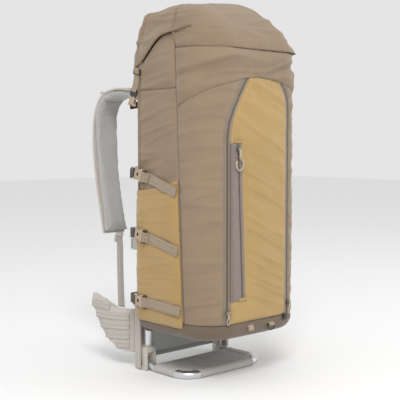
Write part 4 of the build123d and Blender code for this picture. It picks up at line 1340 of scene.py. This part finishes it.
# Frame: bare aluminium tube, bent to a hoop, with two welded crossbars. The load shelf is a
# second bent tube that turns on steel pins in the plastic feet.
bare_tube = metal("bare_aluminium", (0.74, 0.74, 0.745), rough=0.34, scratch=0.00003)
pin_steel = metal("turned_steel", (0.55, 0.55, 0.56), rough=0.25)
black_metal = moulded("black_coated_steel", (0.025, 0.024, 0.024), rough=0.32, worn=0.5)
for node, finish in (("frame_hoop", bare_tube), ("frame_crossbars", bare_tube), ("shelf_tube", bare_tube),
                     ("hinge_pins", pin_steel), ("d_ring", black_metal)):
    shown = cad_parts[node]
    for slot in shown.material_slots:
        slot.material = finish

# Feet and clips: pale forked feet on the frame legs, and pale clips that hold the bag and
# the belt tails to them. Moulded acetal with rounded edges.
def ring_of(centre, radius, count=20):
    return [Vector((centre[0] + radius * math.cos(2 * math.pi * k / count),
                    centre[1] + radius * math.sin(2 * math.pi * k / count))) for k in range(count)]


foot_low, foot_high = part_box("frame_feet")
LEG_X = from_box("frame_feet").x + 0.130
FOOT_HALF = foot_high.x - LEG_X
CHEEK_T = 0.0058
pin_y, pin_z = from_box("hinge_pins").y, from_box("hinge_pins").z
cheek = rounded([(foot_low.y, foot_low.z), (foot_high.y, foot_low.z), (foot_high.y, 0.040),
                 (0.0135, foot_high.z),
                 (-0.0105, foot_high.z), (foot_low.y, 0.040)], 0.006)
placed = []
caps = []
for side in (-1, 1):
    middle = plane_on((side * LEG_X, 0, 0), (0, 1, 0), (1, 0, 0))
    for flank in (-1, 1):
        ends = sorted((flank * FOOT_HALF, flank * (FOOT_HALF - CHEEK_T)))
        placed.append((plate([cheek, ring_of((pin_y, pin_z), 0.0041)], *ends, 0.0012), middle))
        ends = sorted((flank * (FOOT_HALF + 0.0014), flank * (FOOT_HALF - 0.0004)))
        caps.append((plate([ring_of((pin_y, pin_z), 0.0062, 28)], *ends, 0.0006), middle))
    placed.append((plate([block((foot_low.y + 0.001, 0.0445), (foot_high.y - 0.001, 0.0596), 0.003)],
                         -FOOT_HALF + 0.002, FOOT_HALF - 0.002, 0.0015), middle))
    for height in (0.0605, 0.0635):
        placed.append((plate([ring_of((0, 0), 0.0135, 32), ring_of((0, 0), 0.0097, 32)], height - 0.0022,
                             height, 0.0006),
                       Matrix.Translation((side * LEG_X, 0, 0))))
feet = moulding("frame_feet_body", placed, pale_plastic, "pack")
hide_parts("frame_feet")
moulding("hinge_pin_caps", caps, pin_steel, "pack")
placed = []
for side in (-1, 1):
    for inner, outer, low, high, y_low, y_high in ((0.1398, 0.1497, 0.3062, 0.3378, 0.0004, 0.0438),
                                                    (0.1398, 0.1478, 0.1522, 0.1738, 0.0012, 0.0268)):
        place = plane_on((side * (inner + outer) / 2, 0, 0), (0, 1, 0), (1, 0, 0))
        half = (outer - inner) / 2
        mid_z = (low + high) / 2
        slot = block((y_high - 0.0085, low + 0.0045), (y_high - 0.0050, high - 0.0045), 0.0012)
        placed.append((plate([block((y_low, low), (y_high, high), 0.0065), slot], -half, half, 0.0016),
                       place))
        placed.append((plate([ring_of((y_low + 0.0105, mid_z), 0.0048, 24)], -half - 0.0006, half + 0.0006,
                             0.0008), place))
clips = moulding("frame_clips_body", placed, pale_plastic, "pack")
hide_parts("frame_clips")


# Frame panel: pale blue-grey cloth stretched over the wearer's side of the frame, with a
# sewn binding all round and two quilted rows.
panel_cloth = cloth("blue_grey_cloth", (0.46, 0.485, 0.475), yarn=0.0011, crease=0.25, on_uv=True)
panel_low, panel_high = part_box("frame_panel")
PANEL_MID_Y = (panel_low.y + panel_high.y) / 2
NARROW_X, NARROW_Z = 0.113, 0.062


def panel_half(height):
    return along([(panel_low.z, NARROW_X - 0.006), (panel_low.z + 0.008, NARROW_X), (NARROW_Z, NARROW_X),
                  (NARROW_Z + 0.004, panel_high.x), (0.672, panel_high.x),
                  (panel_high.z, panel_high.x - 0.028)], height)


points, uvs, rows, columns = [], [], 168, 61
for row in range(rows):
    height = panel_low.z + (panel_high.z - panel_low.z) * row / (rows - 1)
    for column in range(columns):
        x = panel_half(height) * (2 * column / (columns - 1) - 1)
        slack = 0.0011 * noise.noise(Vector((x * 14, height * 18, 71)))
        quilt = -0.0010 * sum(math.exp(-((height - at) / 0.0018) ** 2) for at in (0.075, 0.290, 0.352))
        points.append((x, PANEL_MID_Y + 0.0006 + slack + quilt, height))
        uvs.append((x, height))
faces = [tuple(reversed(face)) for face in grid_faces(rows, columns)]
panel = mesh_piece("frame_panel_cloth", points, faces, panel_cloth, uvs)
sewn(panel, 0.0012, "pack", "frame_panel")
edge = [(panel_half(z) - 0.004, PANEL_MID_Y, z) for z in np.linspace(panel_low.z + 0.006,
                                                                     panel_high.z - 0.006, 60)]
lower = [(x, PANEL_MID_Y, panel_low.z + 0.004) for x in np.linspace(-NARROW_X + 0.004, NARROW_X - 0.004,
                                                                    24)]
upper = [(x, PANEL_MID_Y, panel_high.z - 0.004) for x in np.linspace(-0.094, 0.094, 20)]
grey_webbing = webbing("blue_grey_binding", (0.36, 0.37, 0.36))
for label, line, wide in (("left", [(-x, y, z) for x, y, z in edge], Vector((1, 0, 0))),
                          ("right", edge, Vector((1, 0, 0))), ("lower", lower, Vector((0, 0, 1))),
                          ("upper", upper, Vector((0, 0, 1)))):
    strap(f"frame_panel_binding_{label}", [line], wide, 0.012, 0.0034, grey_webbing, "pack",
          step=0.006)


# Shelf sling: pale cloth stretched over the shelf tube. Each side is sewn round the tube as a
# sleeve, and the corners are cut away, so the bent tube shows there.
sling_cloth = cloth("stone_sling", (0.49, 0.465, 0.435), yarn=0.0010, crease=0.3)
TUBE_R = 0.0095
WRAP_R = TUBE_R + 0.0012
END_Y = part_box("shelf_tube")[0].y + TUBE_R
DECK_BACK_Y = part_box("shelf_sling")[1].y
DECK_LONG = DECK_BACK_Y - END_Y
SLEEVE = WRAP_R * 2.35
CORNER_X, CORNER_B = 0.092, 0.072


def sling_half(b):
    """Half the width of the sling, measured along the cloth, at a distance from its back edge."""
    if b < CORNER_B:
        return LEG_X + SLEEVE
    return max(CORNER_X, 0.090 + math.sqrt(max(0.032 ** 2 - (b - CORNER_B) ** 2, 0)))


def sling_point(a, b):
    x, y, z = abs(a), DECK_BACK_Y - b, TUBE_R + WRAP_R
    if x > LEG_X:
        turned = (x - LEG_X) / WRAP_R
        x, z = LEG_X + WRAP_R * math.sin(turned), TUBE_R + WRAP_R * math.cos(turned)
    elif b > DECK_LONG:
        turned = (b - DECK_LONG) / WRAP_R
        y, z = END_Y - WRAP_R * math.sin(turned), TUBE_R + WRAP_R * math.cos(turned)
    else:
        sag = max(1 - (x / LEG_X) ** 4, 0) * math.sin(math.pi * min(b / DECK_LONG, 1)) ** 0.6
        z -= sag * (0.0028 + 0.0022 * noise.noise(Vector((a * 22, b * 30, 81))))
    return Vector((math.copysign(x, a), y, max(z, 0.0004)))


steps = [*np.linspace(0, CORNER_B - 0.0004, 24), *np.linspace(CORNER_B + 0.0004, DECK_LONG, 16)]
steps += list(np.linspace(DECK_LONG, DECK_LONG + SLEEVE, 12)[1:])
columns = 101
points = [sling_point(sling_half(b) * (2 * c / (columns - 1) - 1), b) for b in steps
          for c in range(columns)]
uvs = [(sling_half(b) * (2 * c / (columns - 1) - 1), b) for b in steps for c in range(columns)]
sling = mesh_piece("shelf_sling_cloth", points,
                   [tuple(reversed(f)) for f in grid_faces(len(steps), columns)],
                   sling_cloth, uvs)
sewn(sling, 0.0011, "load_shelf", "shelf_sling")
for label, line, wide in (
    ("back", [sling_point(a, 0.004) + Vector((0, 0, 0.0006)) for a in np.linspace(-LEG_X, LEG_X, 40)],
     Vector((0, 1, 0))),
    *[(label, [sling_point(flank * (LEG_X - 0.018), b) + Vector((0, 0, 0.0004)) for b in np.linspace(0.002,
                                                                                                     0.078, 16)],
       Vector((1, 0, 0))) for flank, label in ((-1, "left"), (1, "right"))],
    ("front", [sling_point(a, DECK_LONG - 0.018) + Vector((0, 0, 0.0004)) for a in np.linspace(-0.088,
                                                                                               0.088, 30)],
     Vector((0, 1, 0))),
):
    strap(f"shelf_sling_hem_{label}", [line], wide, 0.009, 0.0010, sling_cloth, "load_shelf",
          step=0.006)


# Pads of the harness: foam in cloth, swelled between their sewn edges. The back and lumbar
# pads are flat blocks, the shoulder pads and hip wings bent bands.
mesh_fabric = cloth("grey_air_mesh", (0.47, 0.455, 0.435), yarn=0.0024, crease=0.05, depth=1.6, on_uv=False,
                    dark=0.65)
stone_cloth = cloth("stone_cloth", (0.565, 0.515, 0.47), yarn=0.0010, crease=0.30, on_uv=False)
stone_webbing = webbing("stone_webbing", (0.55, 0.505, 0.455))


def swelled(name, node, finish, body, cap, voxel=0.005, pressure=4.0):
    """A padded piece in the space of its block: remeshed, swelled as cloth, and rounded off."""
    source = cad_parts[node]
    shape = bmesh.new()
    shape.from_mesh(source.data)
    bmesh.ops.remove_doubles(shape, verts=shape.verts, dist=0.00005)
    bmesh.ops.recalc_face_normals(shape, faces=shape.faces)
    mesh = bpy.data.meshes.new(name)
    shape.to_mesh(mesh)
    shape.free()
    mesh.materials.clear()
    piece = bpy.data.objects.new(name, mesh)
    scene.collection.objects.link(piece)
    grid = piece.modifiers.new("grid", "REMESH")
    grid.mode = "VOXEL"
    grid.voxel_size = voxel
    made(piece)
    smooth = piece.modifiers.new("round", "SMOOTH")
    smooth.factor = 0.5
    smooth.iterations = 6
    made(piece)
    before = [point.co.copy() for point in piece.data.vertices]
    sim = piece.modifiers.new("swell", "CLOTH")
    sim.settings.use_pressure = True
    sim.settings.uniform_pressure_force = pressure
    sim.settings.effector_weights.gravity = 0
    sim.settings.quality = 5
    for number in range(1, 21):
        scene.frame_set(number)
    made(piece)
    scene.frame_set(1)
    for point, start in zip(piece.data.vertices, before):
        moved = point.co - start
        if moved.length > cap:
            point.co = start + moved.normalized() * cap
    level = piece.modifiers.new("soft", "SUBSURF")
    level.levels = 1
    level.render_levels = 1
    piece.data.materials.append(finish)
    piece.data.polygons.foreach_set("use_smooth", [True] * len(piece.data.polygons))
    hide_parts(node)
    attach(piece, body)
    return piece


def skin_of(piece):
    return BVHTree.FromObject(piece, bpy.context.evaluated_depsgraph_get())


def above(skin, spot, facing, spread, lift):
    """A spot moved along the way it faces, until a band of this spread lies clear of the skin."""
    rises = []
    for shift in (-1, -0.5, 0, 0.5, 1):
        hit = skin.ray_cast(spot + spread * shift + facing * 0.03, -facing, 0.045)[0]
        if hit:
            rises.append((hit - spot).dot(facing))
    return spot + facing * (max(rises, default=0) + lift)


for node, cap in (("back_pad", 0.006), ("lumbar_pad", 0.006)):
    pad = swelled(f"{node}_cushion", node, mesh_fabric, "pack", cap)
    low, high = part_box(node)
    middle, half_w, half_h = (low + high) / 2, (high.x - low.x) / 2 - 0.004, (high.z - low.z) / 2 - 0.004
    border = [(middle.x + x * half_w, low.y + 0.0035, middle.z + z * half_h)
              for x, z in ((-0.80, -1), (0, -1), (0.80, -1), (0.97, -0.94), (1, -0.72), (1, 0), (1, 0.72),
                           (0.97, 0.94),
                           (0.80, 1), (0, 1), (-0.80, 1), (-0.97, 0.94), (-1, 0.72), (-1, 0), (-1, -0.72),
                           (-0.97, -0.94), (-0.80, -1))]
    strap(f"{node}_binding", [border], Vector((0, 1, 0)), 0.0075, 0.0030, stone_webbing,
          "pack")

shoulder_line = [(0.0153, 0.690), (0.070, 0.700), (0.130, 0.705), (0.180, 0.696), (0.208, 0.664),
                 (0.217, 0.615),
                 (0.214, 0.550), (0.202, 0.470), (0.184, 0.390), (0.170, 0.338)]
SHOULDER_X = from_box("shoulder_pad_right").x
SHOULDER_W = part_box("shoulder_pad_right")[1].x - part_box("shoulder_pad_right")[0].x
SHOULDER_T = 0.014
for side, label in ((-1, "left"), (1, "right")):
    pad = swelled(f"shoulder_pad_{label}_foam", f"shoulder_pad_{label}", mesh_fabric, "pack",
                  0.0045)
    outer = []
    for i, (y, z) in enumerate(shoulder_line):
        before, after = shoulder_line[max(i - 1, 0)], shoulder_line[min(i + 1, len(shoulder_line) - 1)]
        along_line = Vector((after[0] - before[0], after[1] - before[1])).normalized()
        facing = Vector((0, -along_line.y, along_line.x))
        spot = Vector((side * SHOULDER_X, y, z)) + facing * SHOULDER_T
        outer.append(above(skin_of(pad), spot, facing, Vector((SHOULDER_W / 2 - 0.005, 0, 0)), 0.0012))
    strap(f"shoulder_cover_{label}", [outer], Vector((1, 0, 0)), SHOULDER_W - 0.006, 0.0040, stone_cloth,
          "pack", step=0.005)
    for flank, edge_name in ((-1, "inner"), (1, "outer")):
        edge_line = [p + Vector((flank * side * (SHOULDER_W / 2 - 0.0030), 0, 0)) for p in outer]
        moulding(f"shoulder_piping_{label}_{edge_name}",
                 [(rod(edge_line, 0.0030, step=0.006), Matrix.Identity(4))],
                 stone_cloth, "pack")
    daisy = [p + (p - Vector((side * SHOULDER_X, 0.10, 0.55))).normalized() * 0.0022 for p in outer[1:-1]]
    strap(f"shoulder_webbing_{label}", [daisy], Vector((1, 0, 0)), 0.020, 0.0016, stone_webbing,
          "pack")

WING_ROWS = ((0.1555, 0.090, 0.171), (0.1310, 0.044, 0.150), (0.1065, 0.044, 0.133), (0.0820, 0.044, 0.113),
             (0.0595, 0.044, 0.084))
wing_line = [(0.110, 0.031), (0.138, 0.042), (0.160, 0.070), (0.170, 0.112), (0.170, 0.150), (0.164, 0.176)]
fine = smooth_line([(x, y, 0) for x, y in wing_line], 0.004)
wing_face = []
for here, there in zip(fine, fine[1:]):
    facing = Vector((there[1] - here[1], -(there[0] - here[0]), 0)).normalized()
    wing_face.append((Vector(here) + facing * 0.008, facing))
for side, label in ((-1, "left"), (1, "right")):
    pad = swelled(f"hip_wing_{label}_foam", f"hip_wing_{label}", stone_cloth, "pack", 0.005)
    skin = skin_of(pad)
    for number, (height, first, last) in enumerate(WING_ROWS):
        line = []
        for spot, facing in wing_face[::2]:
            if first < spot.y < last:
                line.append(above(skin, Vector((side * spot.x, spot.y, height)),
                                  Vector((side * facing.x, facing.y, 0)),
                                  Vector((0, 0, 0.008)), 0.0008))
        strap(f"hip_wing_row_{label}_{number + 1}", [line], Vector((0, 0, 1)), 0.0185, 0.0018,
              stone_webbing,
              "pack")


# Harness straps: lifters over the shoulder pads, their locks, the lower straps down to the
# belt, and the belt's tails hanging doubled from the clips on the frame legs.
lifter_line = [(0.0153, 0.706), (0.080, 0.716), (0.140, 0.718), (0.190, 0.708)]
lines = [[(side * SHOULDER_X, y, z + 0.0008) for y, z in lifter_line] for side in (-1, 1)]
lifters = strap("lifter_webbing", lines, Vector((1, 0, 0)), SMALL_STRAP_W, STRAP_T, stone_webbing,
                "pack")
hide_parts("lifter_straps")
lock_face = [block((-0.013, -0.0125), (0.013, 0.0125), 0.003),
             block((-0.0085, -0.0102), (-0.0050, 0.0102), 0.0008),
             block((0.0050, -0.0102), (0.0085, 0.0102), 0.0008)]
placed = []
for side in (-1, 1):
    for (y, z), lean in (((0.163, 0.324), math.radians(15)), ((0.216, 0.704), math.radians(-50))):
        up = Vector((0, -math.sin(lean), math.cos(lean)))
        placed.append((plate(lock_face, -0.003, 0.003, 0.0011),
                       plane_on((side * SHOULDER_X, y, z), up, (0, math.cos(lean), math.sin(lean)))))
locks = moulding("strap_locks_body", placed, pale_plastic, "pack")
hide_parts("strap_locks")
lines, wides = [], []
for side in (-1, 1):
    start, end = Vector((side * SHOULDER_X, 0.158, 0.307)), Vector((side * 0.142, 0.092, 0.150))
    line = [start + Vector((0, 0.004, 0.014)), start, start.lerp(end, 0.33) + Vector((0, 0.001, -0.001)),
            start.lerp(end, 0.66) + Vector((0, 0.001, -0.001)), end]
    lines.append(line)
    wides.append(Vector((1, 0, 0)))
lower_webs = strap("lower_webbing", lines, wides, SMALL_STRAP_W, STRAP_T, stone_webbing,
                   "pack")
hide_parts("lower_straps")
TAIL_X = 0.150
lines = []
for side in (-1, 1):
    wave = [(0.0012, 0.172), (0.0014, 0.150), (0.0008, 0.115), (0.0013, 0.080), (0.0009, 0.045),
            (0.0012, 0.0125)]
    turn_over = [(0.0010, 0.0062), (0.0, 0.0048), (-0.0010, 0.0062)]
    back = [(-0.0009, 0.030), (-0.0013, 0.065), (-0.0008, 0.100), (-0.0012, 0.135), (-0.0010, 0.160)]
    lines.append([(side * (TAIL_X + x), 0.014, z) for x, z in (*wave, *turn_over, *back)])
tails = strap("belt_tail_webbing", lines, Vector((0, 1, 0)), 0.0215, 0.0014, stone_webbing,
              "pack", step=0.003)
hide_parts("belt_tails")


# Stitch lines in taupe thread: twin rows down both sides of the frame panel, inside its
# binding, one row across its top and its foot, and one along each hem of the sling.
rows = [[(flank * (panel_half(z) - inset), PANEL_MID_Y + 0.0019, z)
         for z in np.linspace(panel_low.z + 0.014, panel_high.z - 0.012, 70)]
        for flank in (-1, 1) for inset in (0.0085, 0.0015)]
rows += [[(x, PANEL_MID_Y + 0.0019, z) for x in (-0.090, -0.03, 0.03, 0.090)]
         for z in (panel_low.z + 0.0085, panel_high.z - 0.0085)]
repeat_along("frame_panel_stitches", rows, stitch_steps, thread, "panel_cloth", "pack", spacing=0.0044,
             across=0.0007, deep=0.0007, length=0.0030)
rows = [[sling_point(a, 0.0072) + Vector((0, 0, 0.0012)) for a in np.linspace(-0.124, 0.124, 50)],
        [sling_point(a, DECK_LONG - 0.0212) + Vector((0, 0, 0.0010)) for a in np.linspace(-0.086, 0.086,
                                                                                          30)]]
rows += [[sling_point(flank * (LEG_X - 0.0212), b) + Vector((0, 0, 0.0010)) for b in np.linspace(0.004,
                                                                                                 0.076, 16)]
         for flank in (-1, 1)]
repeat_along("shelf_sling_stitches", rows, stitch_steps, thread, "pale_cloth", "load_shelf", spacing=0.0044,
             across=0.0007, deep=0.0007, length=0.0030)
